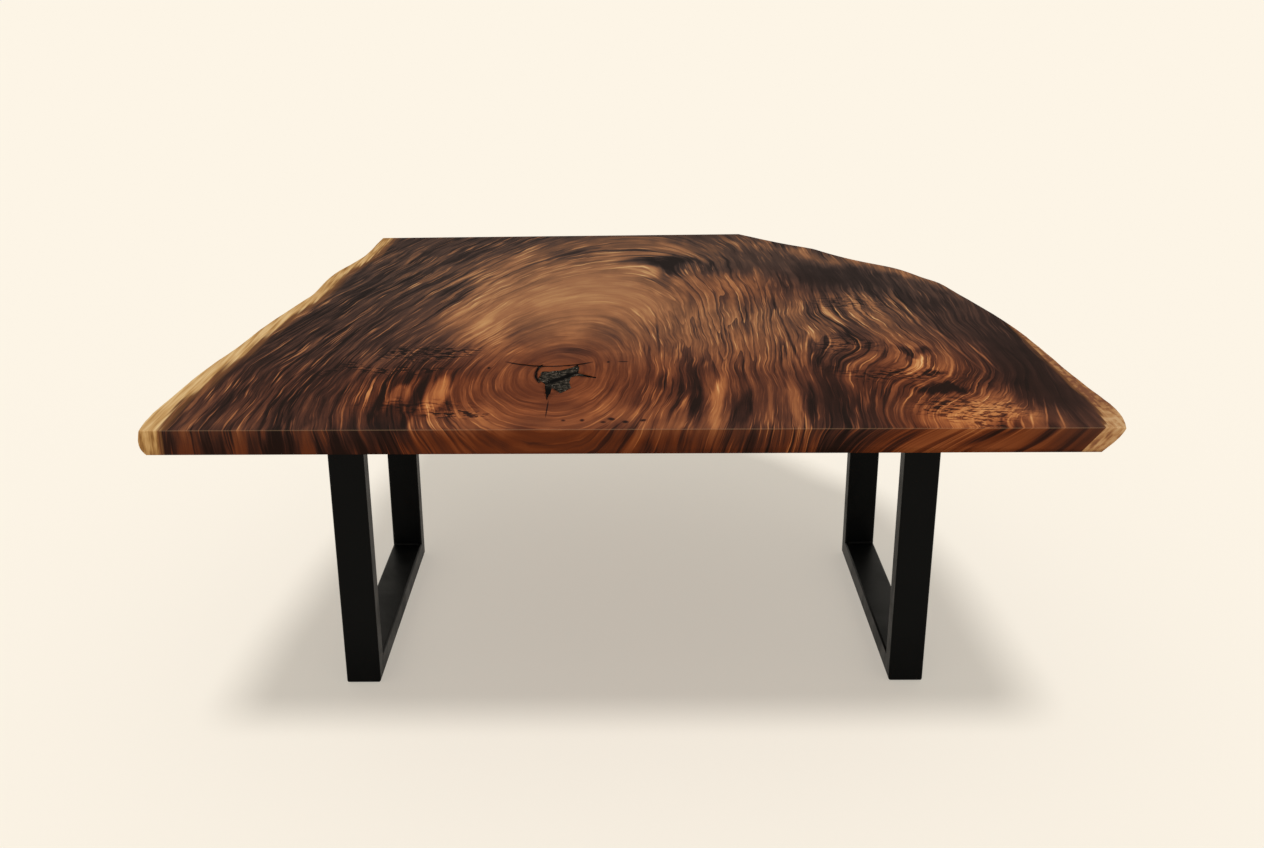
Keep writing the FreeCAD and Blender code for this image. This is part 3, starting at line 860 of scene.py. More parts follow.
@dataclass
class FiguredWood:
    """Oiled heartwood with a knot figure, dark stripes and pale sapwood along the live edges."""

    slab: "Slab"
    ground: float = 0.18
    dip: float = 1.3
    burl_slant: float = 1.9
    burl_slack: float = 0.55
    least_contrast: float = 0.2
    broad_share: float = 0.07
    loose_broad_share: float = 0.05
    flame_share: float = 0.10
    brush_share: float = 0.17
    fine_share: float = 0.07
    slack_fine_share: float = 0.12
    slack_thread_gain: float = 0.4
    pleat_share: float = 0.30
    ring_growth_share: float = 0.09
    ring_thread_share: float = 0.35
    ring_broad_share: float = 0.05
    ring_fine_share: float = 0.045
    mottle_share: float = 0.04
    fleck_slant: float = 0.348
    cut_end_grain_and_shade: float = 0.17
    cut_crispness: float = 3.0
    right_crispness: float = 2.0
    right_browning: float = 0.4
    end_grain_and_shade_colour: str = "5a2400"
    stain: str = "7a5030"
    brown: str = "96604a"
    arris_highlight: str = "d9b48a"
    smudge_scale: float = 7.0
    roughness: float = 0.42
    dulling: float = 0.08
    pore_strength: float = 0.12
    pore_depth: float = 0.0004
    oil: float = 0.035
    oil_roughness: float = 0.28

    def __post_init__(self) -> None:
        """Starts the material, and finds which point of the figure each point of the slab shows."""
        self.made, self.bench, self.shader = principled(Slot.WOOD.value)
        bench = self.bench
        self.x, self.y, self.z = bench.split(bench.place())
        self.depth = self.z * -1.0 + self.slab.top
        edge_slant = self.slab.right_undercut / self.slab.thickness
        lean = bench.span(self.x, Slope(*BURL_START, 0.0, self.burl_slant, True))
        lean = lean - bench.span(self.x, Slope(*BURL_END, 0.0, self.burl_slant - edge_slant, True))
        self.figure_x = self.x + self.depth * lean
        self.figure_y = self.y - self.depth * self.dip
        self.point = bench.join(self.figure_x, self.figure_y)
        self.strayed = self.drifted(self.point, PATCH_STRAY)

    def material(self, handling: NodeTree) -> Material:
        """Builds the finish.

        Args:
            handling: the shared smudge group.

        Returns:
            The material.
        """
        bench = self.bench
        tone = self.tone()
        warm = patchwork(bench, self.strayed, WARM_PATCHES) + bench.span(self.y, FRONT_WARMTH)
        warm = warm + bench.span(self.figure_y, CUT_WARMTH)
        heart = bench.mix(warm, bench.ramp(tone, HEARTWOOD), bench.ramp(tone, WARM_HEARTWOOD))
        right = bench.span(self.x, RIGHT_HALF)
        cut = bench.span(self.y, Slope(self.slab.front, self.slab.front + self.slab.ease, 1.0, 0.0))
        # The front cut is darkened where the wood is light: partly end grain, partly painted shade
        heart = bench.mix(cut * bench.span(tone, CUT_END_GRAIN_AND_SHADE), heart, tint(self.end_grain_and_shade_colour))
        margin = self.sap_margin() * (right * self.right_crispness + cut * self.cut_crispness + 1.0)
        pale = self.sapwood(right, cut)
        colour = bench.mix(bench.span(margin, SAP_STAIN), heart, tint(self.stain))
        colour = bench.mix(bench.span(margin, SAP_BORDER), colour, pale)
        # Painted highlight: the rounded upper edge of the front cut is lightened
        arris_highlight_mask = cut * bench.span(self.depth, Slope(0.0, self.slab.ease, 1.0, 0.0))
        colour = bench.mix(bench.span(arris_highlight_mask, ARRIS_PAINTED_HIGHLIGHT), colour, tint(self.arris_highlight))
        smudge = Reading(bench.group(handling, Smudge_Scale=self.smudge_scale).outputs["Smudge"])
        rough = smudge * self.dulling + self.roughness
        pores = PORES.reading(bench, self.x, self.y, self.z)
        relief = bench.bump(pores, self.pore_strength, self.pore_depth)
        feed(self.shader, Base_Color=colour, Roughness=rough, Normal=relief, Specular_IOR_Level=0.0,
             Coat_Weight=self.oil, Coat_Roughness=self.oil_roughness)
        return self.made

    def drifted(self, vector: NodeSocket, drift: Drift) -> NodeSocket:
        """Moves a point about by a drift, which is read at the figure's own point."""
        source = self.bench.join(self.figure_x * drift.stretch, self.figure_y, drift.layer)
        return self.bench.wander(vector, source, drift.reach, drift.scale, drift.detail)

    def tone(self) -> Reading:
        """Builds the figure's lightness.

        Returns:
            The lightness, from nought to one.
        """
        bench, strayed, x, y = self.bench, self.strayed, self.figure_x, self.figure_y
        burl = patchwork(bench, strayed, BURL_PATCHES).smaller(1.0)
        ring = Rings().reading(bench, self.loosened(burl))
        broad, flame, fine, brush, light, dark, growth, pleat = (
            streaks.reading(bench, ring, x, y)
            for streaks in (BROAD, FLAME, FINE, BRUSH, PALE_THREADS, DARK_THREADS, GROWTH, PLEATS))
        pleat = pleat.apply("FRACT") - 0.5
        mottle = MOTTLE.reading(bench, x, y)
        ground = patchwork(bench, strayed, TONE_PATCHES, self.ground) + bench.span(y, BACK_LIFT)
        # Painted light near the front, and painted shade lower down the front cut
        ground = ground + bench.span(y, FRONT_PAINTED_LIGHT) - bench.span(y, CUT_SHADE)
        contrast = patchwork(bench, strayed, CALM_PATCHES, 1.0).larger(self.least_contrast)
        contrast = contrast * CONTRAST.reading(bench, x, y)
        slack = patchwork(bench, strayed, FINE_PATCHES) + burl * self.burl_slack
        coarse = broad * self.loose_broad_share + flame * self.flame_share + brush * self.brush_share
        coarse = broad * self.broad_share + coarse * (slack * -1.0 + 1.0)
        stripes = coarse + fine * (slack * self.slack_fine_share + self.fine_share) - dark
        stripes = (stripes + light * (slack * self.slack_thread_gain + 1.0)) * contrast
        stripes = stripes + pleat * patchwork(bench, strayed, PLEAT_PATCHES) * self.pleat_share
        shown = bench.span(mottle, RING_BREAKS) * bench.span(y, RING_FADE)
        shown = shown * bench.span(KNOT_CORE.distance(bench, strayed), CORE_FADE)
        rings = (growth * self.ring_growth_share + (light - dark) * self.ring_thread_share) * shown
        rings = rings + broad * self.ring_broad_share + fine * self.ring_fine_share
        near = patchwork(bench, strayed, RING_PATCHES).smaller(1.0)
        return self.marked(ground + stripes + (rings - stripes) * near + mottle * self.mottle_share)

    def marked(self, tone: Reading) -> Reading:
        """Adds the single lines, seams, flecks and cracks to the figure, with painted shade beside the
        cracks.

        Args:
            tone: the lightness without them.

        Returns:
            The lightness with them.
        """
        bench = self.bench
        tone = tone + patchwork(bench, self.drifted(self.point, LINE_STRAY), LINE_PATCHES)
        tone = tone + patchwork(bench, self.point, SEAM_PATCHES)
        slanted = self.figure_x + self.figure_y * self.fleck_slant
        flecks = FLECKS.reading(bench, slanted, self.figure_y)
        tone = tone - patchwork(bench, self.strayed, CROSS_PATCHES) * flecks
        # Painted shade: the wood along each crack is darkened, together with the crack's hairline
        for crack in CRACKS:
            tone = tone - crack.reading(bench, self.point)
        return tone

    def loosened(self, burl: Reading) -> NodeSocket:
        """Moves the figure's point about, so that the rings waver, and most of all in the burl.

        Args:
            burl: how far the point is in the burl, up to one.

        Returns:
            The moved point.
        """
        slow = self.drifted(self.point, SLOW_DRIFT)
        loose = self.drifted(slow, LOOSE_DRIFT)
        return self.bench.mix(burl, loose, self.drifted(loose, BURL_DRIFT))

    def sapwood(self, right: Reading, cut: Reading) -> NodeSocket:
        """Builds the colour of the sapwood: tan on the left, brown and flecked on the right.

        Args:
            right: nought on the left of the table and one on the right.
            cut: one on the front cut and nought behind it.

        Returns:
            The colour.
        """
        bench = self.bench
        inside = (self.figure_x, self.figure_y, self.depth)
        shade = SAP_STREAKS.reading(bench, *inside) - bench.span(self.depth, SAP_UNDERCUT)
        aged = SAP_FLECKS.reading(bench, *inside) + bench.span(self.y, RIGHT_AGEING)
        # The sapwood on the front cut is darker: partly end grain, partly painted shade
        plain = cut * self.cut_end_grain_and_shade + bench.span(self.y, LEFT_AGEING)
        shade = shade - plain - (aged - plain) * right
        return bench.mix(right * self.right_browning, bench.ramp(shade, SAPWOOD), tint(self.brown))

    def sap_margin(self) -> Reading:
        """Builds how far a point is inside the sapwood.

        Returns:
            The distance, below nought in the heartwood.
        """
        bench, x, y = self.bench, self.figure_x, self.y
        waver = SAP_WAVER.reading(bench, y, x) + SAP_FIBRES.reading(bench, x, y)
        left = bench.span(y, LEFT_SAP) - (x - self.slab.edge_reading(bench, y, Side.LEFT))
        right = bench.span(y, RIGHT_SAP) - bench.span(y, RIGHT_SAP_END)
        right = right - (self.slab.edge_reading(bench, y, Side.RIGHT) - x)
        return left.larger(right) + waver


# Other finishes

class Dress(NamedTuple):
    """A finish and the record's slot for it."""

    material: Material
    slot: Slot


@dataclass(frozen=True)
class KnotResin:
    """Dark cast resin in the knot's void and its cracks, with painted glints standing in for highlights and
    painted shade in its hollows.
    """

    cloud_scale: float = 120.0
    cloud_detail: float = 4.0
    cloud_roughness: float = 0.6
    glint_scale: float = 330.0
    painted_glints: Slope = Slope(0.68, 0.74)
    painted_glint_colour: str = "b9b2a6"
    hollow_shade_colour: str = "060505"
    void_stray: tuple[float, float, float] = (0.012, 0.012, 0.0)
    void_stray_scale: float = 60.0
    smudge_scale: float = 40.0
    roughness: float = 0.3
    dulling: float = 0.2
    relief: float = 0.7
    relief_depth: float = 0.002
    gloss: float = 0.02

    def material(self, handling: NodeTree) -> Material:
        """Builds the finish.

        Args:
            handling: the shared smudge group.

        Returns:
            The material.
        """
        material, bench, shader = principled(Slot.RESIN.value)
        place = bench.place()
        cloud = bench.cloud(place, self.cloud_scale, self.cloud_detail, self.cloud_roughness)
        colour = bench.ramp(cloud, RESIN)
        # Painted glints: pale specks that stand in for highlights on the glossy resin
        painted_glints = bench.span(bench.cloud(place, self.glint_scale), self.painted_glints)
        colour = bench.mix(painted_glints, colour, tint(self.painted_glint_colour))
        # Painted shade: the void's hollows are blacked in along the strokes
        flat = bench.wander(place, place, self.void_stray, self.void_stray_scale)
        void = HOLLOW_SHADE_STROKES[0].reading(bench, flat, eased=False)
        for stroke in HOLLOW_SHADE_STROKES[1:]:
            void = void.larger(stroke.reading(bench, flat, eased=False))
        colour = bench.mix(void, colour, tint(self.hollow_shade_colour))
        smudge = Reading(bench.group(handling, Smudge_Scale=self.smudge_scale).outputs["Smudge"])
        feed(shader, Base_Color=colour, Roughness=smudge * self.dulling + self.roughness,
             Normal=bench.bump(cloud, self.relief, self.relief_depth), Specular_IOR_Level=0.0,
             Coat_Weight=self.gloss)
        return material


@dataclass(frozen=True)
class HandledFinish:
    """A finish of one colour that shows handling: smudges, specks of dust and a fine grain."""

    slot: Slot
    clean: str
    smudged: str
    roughness: float
    dulling: float
    smudge_scale: float
    grain_scale: float
    relief: float
    relief_depth: float
    smudge_share: float = 1.0
    dust: str = "191a1a"
    dust_share: float = 0.0
    metallic: float = 0.0
    specular: float = 0.5

    def dress(self, handling: NodeTree) -> Dress:
        """Builds the finish.

        Args:
            handling: the shared smudge group.

        Returns:
            The material with its slot.
        """
        material, bench, shader = principled(self.slot.value)
        wear = bench.group(handling, Smudge_Scale=self.smudge_scale, Grain_Scale=self.grain_scale).outputs
        smudge, speck, height = (Reading(part) for part in wear)
        colour = bench.mix(smudge * self.smudge_share, tint(self.clean), tint(self.smudged))
        if self.dust_share:
            colour = bench.mix(speck * self.dust_share, colour, tint(self.dust))
        feed(shader, Base_Color=colour, Roughness=smudge * self.dulling + self.roughness,
             Normal=bench.bump(height, self.relief, self.relief_depth), Metallic=self.metallic,
             Specular_IOR_Level=self.specular)
        return Dress(material, self.slot)


POWDER_COAT = HandledFinish(
    Slot.COAT, clean="080909", smudged="0d0e0e", roughness=0.36, dulling=0.12, smudge_scale=9.0,
    grain_scale=1500.0, relief=0.25, relief_depth=0.00015, smudge_share=0.5, dust_share=0.35, specular=0.06)
ZINC_PLATE = HandledFinish(
    Slot.ZINC, clean="c9ccd0", smudged="9fa3a8", roughness=0.22, dulling=0.2, smudge_scale=90.0,
    grain_scale=2500.0, relief=0.15, relief_depth=0.00005, metallic=1.0)
INSERT_BRASS = HandledFinish(
    Slot.BRASS, clean="c9a14a", smudged="9c7a38", roughness=0.28, dulling=0.2, smudge_scale=90.0,
    grain_scale=2500.0, relief=0.15, relief_depth=0.00005, metallic=1.0)
PAD_RUBBER = HandledFinish(
    Slot.RUBBER, clean="1a1918", smudged="2b2927", roughness=0.72, dulling=0.15, smudge_scale=60.0,
    grain_scale=1800.0, relief=0.4, relief_depth=0.0001)


# Meshes

FLAT_LIMIT = 0.5
SHARP_LIMIT = 40.0
CREASE_LIMIT = 32.0


def merged(node: str) -> BMesh:
    """Copies a CAD node's mesh and joins its loose triangles.

    Args:
        node: the node's name.

    Returns:
        The mesh.
    """
    mesh = bmesh.new()
    mesh.from_mesh(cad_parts[node].data)
    bmesh.ops.remove_doubles(mesh, verts=mesh.verts, dist=MERGE)
    # Reading the mesh back numbers its parts afresh, which the rounding of its edges depends on
    joined = bpy.data.meshes.new(node)
    mesh.to_mesh(joined)
    mesh.clear()
    mesh.from_mesh(joined)
    bpy.data.meshes.remove(joined)
    return mesh


def sharp_edges(mesh: BMesh, degrees: float) -> list[BMEdge]:
    """Finds the edges where two faces meet at more than an angle."""
    limit = math.radians(degrees)
    return [edge for edge in mesh.edges if len(edge.link_faces) == 2 and edge.calc_face_angle() > limit]


def flatten(mesh: BMesh) -> None:
    """Joins the triangles of each flat face."""
    bmesh.ops.dissolve_limit(mesh, angle_limit=math.radians(FLAT_LIMIT), verts=mesh.verts, edges=mesh.edges)


def slice_faces(mesh: BMesh, faces: Iterable[BMFace],
                planes: Iterable[tuple[Sequence[float], Sequence[float]]]) -> None:
    """Cuts faces with one plane after another.

    Args:
        mesh: the mesh.
        faces: those of its faces that are cut.
        planes: a point of each plane, and the way the plane faces.
    """
    faces = list(faces)
    edges = dict.fromkeys(edge for face in faces for edge in face.edges)
    verts = dict.fromkeys(vert for face in faces for vert in face.verts)
    skin = [*verts, *edges, *faces]
    for place, normal in planes:
        cut = bmesh.ops.bisect_plane(mesh, geom=skin, plane_co=place, plane_no=normal, dist=MERGE)
        skin = cut["geom"]


def add_object(name: str, data: bpy.types.ID) -> Object:
    """Adds an object to the scene.

    Args:
        name: the object's name.
        data: its mesh, light or camera.

    Returns:
        The object.
    """
    made = bpy.data.objects.new(name, data)
    bpy.context.scene.collection.objects.link(made)
    return made


def add_mesh(name: str, mesh: BMesh, material: Material) -> Object:
    """Adds a mesh to the scene as an object with a finish.

    Args:
        name: the object's name.
        mesh: its mesh, which is freed.
        material: the finish.

    Returns:
        The object.
    """
    data = bpy.data.meshes.new(name)
    mesh.to_mesh(data)
    mesh.free()
    data.materials.clear()
    data.materials.append(material)
    return add_object(name, data)


def finish_piece(mesh: BMesh, name: str, dress: Dress, node: str, crease: float = CREASE_LIMIT) -> None:
    """Turns a mesh into a piece of the table.

    Args:
        mesh: the piece's mesh, which is freed.
        name: the piece's name.
        dress: its finish.
        node: the CAD node that it stands for.
        crease: the least angle that shades as an edge, in degrees.
    """
    piece = add_mesh(name, mesh, dress.material)
    piece.data.shade_smooth()
    piece.data.set_sharp_from_angle(angle=math.radians(crease))
    shading = piece.modifiers.new("flat_faces_stay_flat", "WEIGHTED_NORMAL")
    shading.mode = "FACE_AREA"
    shading.weight = 100
    shading.keep_sharp = True
    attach(piece, ROOT)
    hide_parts(node)
    LOG.info("%s: %d faces, for %s", name, len(piece.data.polygons), node)


def eased_piece(node: str, dress: Dress, width: float, segments: int = 2, name: str = "") -> None:
    """Makes a piece that is a CAD node with its sharp edges rounded.

    Args:
        node: the CAD node.
        dress: the piece's finish.
        width: how far the rounding reaches from an edge.
        segments: steps in the rounding.
        name: the piece's name, if it isn't the node's with the word eased.
    """
    mesh = merged(node)
    flatten(mesh)
    bmesh.ops.bevel(mesh, geom=sharp_edges(mesh, SHARP_LIMIT), offset=width, offset_type="OFFSET",
                    affect="EDGES", segments=segments, profile=0.5, material=-1, clamp_overlap=True)
    finish_piece(mesh, name or f"{node}_eased", dress, node)


# Pieces

@dataclass
class KnotFill:
    """The resin in the knot's void and cracks, shrunk a little below the face."""

    node: str = "knot_resin_fill"
    rim: float = 0.0004
    shrink: float = 0.0007
    level_facing: float = 0.99
    face_band: float = 0.001
    outline_band: float = 0.0001
    outline_turn: float = 60.0
    outline_cuts: int = 5
    least_straight: float = 0.008
    stray: float = 0.0022
    stray_scale: float = 110.0
    stray_layers: tuple[float, float] = (0.5, 7.5)

    def __post_init__(self) -> None:
        """Reads the fill's box."""
        self.low, self.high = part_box(self.node)

    def build(self) -> BMesh:
        """Copies the CAD fill and dishes its face.

        Returns:
            The fill's mesh.
        """
        mesh = merged(self.node)
        flatten(mesh)
        self.roughen_outline(mesh)
        level = self.high[2] - self.face_band
        faces = [face for face in mesh.faces
                 if face.normal.z > self.level_facing and face.calc_center_median().z > level]
        bmesh.ops.inset_region(mesh, faces=faces, thickness=self.rim, depth=-self.shrink,
                               use_even_offset=True)
        return mesh

    def outline(self, mesh: BMesh) -> list[BMEdge]:
        """Finds the edges round the void and its cracks on the face.

        Args:
            mesh: the slab or the fill.

        Returns:
            The edges.
        """
        low, high = self.low, self.high
        level = high[2] - self.outline_band
        return [edge for edge in sharp_edges(mesh, self.outline_turn)
                if all(vert.co.z > level and low[0] - MERGE < vert.co.x < high[0] + MERGE
                       and low[1] - MERGE < vert.co.y < high[1] + MERGE for vert in edge.verts)]

    def roughen_outline(self, mesh: BMesh) -> None:
        """Breaks up the straight outline of the void on the face, alike in the slab and in the fill.

        Args:
            mesh: the slab or the fill.
        """
        straight = [edge for edge in self.outline(mesh) if edge.calc_length() > self.least_straight]
        bmesh.ops.subdivide_edges(mesh, edges=straight, cuts=self.outline_cuts)
        mesh.normal_update()
        for vert in {vert for edge in self.outline(mesh) for vert in edge.verts}:
            place = vert.co.xy * self.stray_scale
            drift = [noise.noise((*place, layer)) for layer in self.stray_layers]
            vert.co.xy += Vector(drift) * self.stray


@dataclass
class Slab:
    """The figured top: a thick slice with saw cuts front and back and a live edge on each side."""

    node: str = "slab_top"
    crease: float = 30.0
    row_pitch: float = 0.009
    level_count: int = 7
    edge_reach: float = 0.055
    most_level: float = 0.97
    most_endwise: float = 0.95
    ripple: float = 0.0022
    ripple_scales: tuple[float, float] = (15.0, 16.0)
    fibre: float = 0.0007
    fibre_scales: tuple[float, float] = (22.0, 210.0)
    fibre_layer: float = 5.0
    right_undercut: float = 0.038
    ease: float = 0.0018
    station_count: int = 15
    first_station: float = 0.0005
    station_reach: float = 0.995
    face_band: float = 0.004
    back_skew: float = 0.042

    def __post_init__(self) -> None:
        """Reads the slab's box and its live edges."""
        low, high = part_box(self.node)
        self.front, self.bottom = low[1:]
        self.back, self.top = high[1:]
        self.length = self.back - self.front
        self.thickness = self.top - self.bottom
        self.edges = self.live_edges()

    def build(self, fill: KnotFill) -> BMesh:
        """Copies the CAD slab, and gives its live edges their ripples.

        Args:
            fill: gives the outline of the knot's void.

        Returns:
            The slab's mesh.
        """
        mesh = merged(self.node)
        fill.roughen_outline(mesh)
        self.cut_rows(mesh)
        self.roughen(mesh)
        return mesh

    def live_edges(self) -> dict[Side, list[tuple[float, float]]]:
        """Finds where each live edge lies on the face.

        Returns:
            For each edge its rows from front to back, each with the edge's place across the table.
        """
        edges = {side: [] for side in Side}
        probe = merged(self.node)
        for index in range(self.station_count):
            share = self.first_station + self.station_reach * index / (self.station_count - 1)
            row = self.front + (self.length - self.back_skew) * share
            cut = bmesh.ops.bisect_plane(probe, geom=[*probe.verts, *probe.edges, *probe.faces],
                                         plane_co=(0.0, row, 0.0), plane_no=(0.0, 1.0, 0.0))
            upper = [item.co.x for item in cut["geom_cut"]
                     if isinstance(item, BMVert) and item.co.z > self.top - self.face_band]
            edges[Side.LEFT].append((row, min(upper)))
            edges[Side.RIGHT].append((row, max(upper)))
        probe.free()
        return edges

    def edge_at(self, side: Side, y: float) -> float:
        """Finds where a live edge lies at one row.

        Args:
            side: which edge.
            y: the row.

        Returns:
            The edge's place across the table.
        """
        rows = self.edges[side]
        for (low, first), (high, second) in zip(rows, rows[1:]):
            if y <= high:
                share = max(0.0, (y - low) / (high - low))
                return first + (second - first) * share
        return rows[-1][1]

    def edge_reading(self, bench: Bench, y: Reading, side: Side) -> Reading:
        """Builds where a live edge lies, for a material.

        Args:
            bench: where the nodes go.
            y: the row.
            side: which edge.

        Returns:
            The edge's place across the table.
        """
        rows, places = zip(*self.edges[side])
        low = min(places)
        reach = max(places) - low
        node = bench.node("FloatCurve", Value=bench.span(y, Slope(rows[0], rows[-1])))
        points = node.mapping.curves[0].points
        while len(points) < len(rows):
            points.new(1.0, 1.0)
        for index, place in enumerate(places):
            points[index].location = (index / (len(rows) - 1), (place - low) / reach)
        node.mapping.update()
        return Reading(node.outputs[0]) * reach + low

    def on_edge(self, point: Vector) -> bool:
        """Whether a point is on a live edge or close to one."""
        inset = min(point.x - self.edge_at(Side.LEFT, point.y), self.edge_at(Side.RIGHT, point.y) - point.x)
        return inset < self.edge_reach

    def side_faces(self, mesh: BMesh) -> list[BMFace]:
        """Finds the faces of the two live edges.

        Args:
            mesh: the slab.

        Returns:
            The faces.
        """
        return [face for face in mesh.faces
                if abs(face.normal.z) < self.most_level and abs(face.normal.y) < self.most_endwise
                and self.on_edge(face.calc_center_median())]

    def cut_rows(self, mesh: BMesh) -> None:
        """Cuts the live edges into small faces.

        Args:
            mesh: the slab.
        """
        rows = int(self.length / self.row_pitch)
        planes = [((0.0, self.front + self.length * index / rows, 0.0), (0.0, 1.0, 0.0))
                  for index in range(1, rows)]
        planes += [((0.0, 0.0, self.bottom + self.thickness * index / self.level_count), (0.0, 0.0, 1.0))
                   for index in range(1, self.level_count)]
        slice_faces(mesh, self.side_faces(mesh), planes)

    def roughen(self, mesh: BMesh) -> None:
        """Draws the live edges in by a little, unevenly, as a peeled log's surface is.

        Args:
            mesh: the slab.
        """
        for vert in {vert for face in self.side_faces(mesh) for vert in face.verts}:
            x, y, z = vert.co
            ripple_y, ripple_z = self.ripple_scales
            fibre_y, fibre_z = self.fibre_scales
            wave = noise.noise(Vector((y * ripple_y, z * ripple_z, x)))
            fibre = noise.noise(Vector((y * fibre_y, z * fibre_z, self.fibre_layer)))
            inward = self.ripple * (0.5 + 0.5 * wave) + self.fibre * (0.5 + 0.5 * fibre)
            on_left = x < self.edge_at(Side.LEFT, y) + self.edge_reach
            vert.co.x += inward if on_left else -inward


ACROSS = Vector((1.0, 0.0, 0.0))


@dataclass
class Leg:
    """One closed loop of rectangular tube with its plate, welds and fasteners."""

    side: Side
    plate_edge: float = 0.0007
    bolt_edge: float = 0.0005
    washer_edge: float = 0.0003
    insert_edge: float = 0.0003
    weld_pitch: float = 0.0016
    weld_crown: float = 0.0009
    weld_ripple: float = 0.0005
    ripple_pitches: float = 1.6
    bead_half: float = 0.0035
    bead_reach: float = 0.008
    bead_taper: float = 0.004
    bead_slope: float = 0.3
    bead_flatness: float = 0.00005
    bead_cuts: tuple[float, ...] = (-0.5, 0.0, 0.5)

    def named(self, part: str) -> str:
        """The name of one of this leg's parts."""
        return f"{self.side.value}_leg_{part}"

    def build(self, coat: Dress, zinc: Dress, brass: Dress) -> None:
        """Makes and dresses the leg's pieces.

        Args:
            coat: finish of the steelwork.
            zinc: finish of the bolts and washers.
            brass: finish of the threaded inserts.
        """
        for part in ("front_upright", "rear_upright", "floor_rail"):
            tube = merged(self.named(part))
            flatten(tube)
            finish_piece(tube, self.named(f"{part}_tube"), coat, self.named(part))
        eased_piece(self.named("mounting_plate"), coat, self.plate_edge, name=self.named("plate"))
        finish_piece(self.welds(), self.named("welds"), coat, self.named("weld_beads"))
        eased_piece(self.named("bolts"), zinc, self.bolt_edge)
        eased_piece(self.named("washers"), zinc, self.washer_edge)
        eased_piece(self.named("threaded_inserts"), brass, self.insert_edge)

    def welds(self) -> BMesh:
        """Copies the weld beads and lays the ripples of a hand weld on them.

        Returns:
            The beads' mesh.
        """
        mesh = merged(self.named("weld_beads"))
        flatten(mesh)
        low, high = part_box(self.named("weld_beads"))
        start, run = low[0], high[0] - low[0]
        slopes = [(face.calc_center_median().copy(), face.normal.copy()) for face in mesh.faces
                  if min(abs(face.normal.y), abs(face.normal.z)) > self.bead_slope]
        steps = int(run / (self.weld_pitch / 2))
        slice_faces(mesh, mesh.faces, [((start + run * index / steps, 0.0, 0.0), ACROSS)
                                       for index in range(1, steps)])
        for middle, normal in slopes:
            upward = normal.cross(ACROSS)
            bead = [face for face in mesh.faces
                    if (face.calc_center_median() - middle).yz.length < self.bead_reach]
            slice_faces(mesh, bead, [(middle + upward * share * self.bead_half, upward)
                                     for share in self.bead_cuts])
            self.crown(mesh, middle, normal, start, run)
        return mesh

    def crown(self, mesh: BMesh, middle: Vector, normal: Vector, start: float, run: float) -> None:
        """Raises one bead's sloping face into a rippled crown.

        Args:
            mesh: the beads.
            middle: the middle of the sloping face.
            normal: the way it faces.
            start: where the bead starts, across the table.
            run: the bead's length.
        """
        upward = normal.cross(ACROSS)
        for vert in mesh.verts:
            offset = vert.co - middle
            if offset.yz.length > self.bead_reach or abs(offset.dot(normal)) > self.bead_flatness:
                continue
            aside = min(1.0, abs(offset.dot(upward)) / self.bead_half)
            travel = vert.co.x - start
            ripple = abs(math.sin(math.pi * travel / (self.weld_pitch * self.ripple_pitches) + aside))
            taper = max(0.0, min(1.0, travel / self.bead_taper, (run - travel) / self.bead_taper))
            vert.co += normal * (self.weld_crown + self.weld_ripple * ripple) * (1 - aside ** 2) * taper


@dataclass
class Stiffeners:
    """The two steel channels let into the underside, with their bolts, washers and inserts."""

    channel_edge: float = 0.0005
    bolt_edge: float = 0.0004
    washer_edge: float = 0.00025
    insert_edge: float = 0.00025

    def build(self, coat: Dress, zinc: Dress, brass: Dress) -> None:
        """Makes and dresses the channels and their fasteners.

        Args:
            coat: finish of the channels.
            zinc: finish of the bolts and washers.
            brass: finish of the threaded inserts.
        """
        for end in ("front", "rear"):
            eased_piece(f"{end}_stiffening_channel", coat, self.channel_edge)
        eased_piece("channel_bolts", zinc, self.bolt_edge)
        eased_piece("channel_washers", zinc, self.washer_edge)
        eased_piece("channel_threaded_inserts", brass, self.insert_edge)


@dataclass
class FloorPads:
    """The four rubber pads under the floor rails."""

    edge: float = 0.0008
    segments: int = 3

    def build(self, rubber: Dress) -> None:
        """Makes and dresses the pads.

        Args:
            rubber: their finish.
        """
        for side in Side:
            for end in ("front", "rear"):
                eased_piece(f"{side.value}_{end}_floor_pad", rubber, self.edge, self.segments)


# Studio

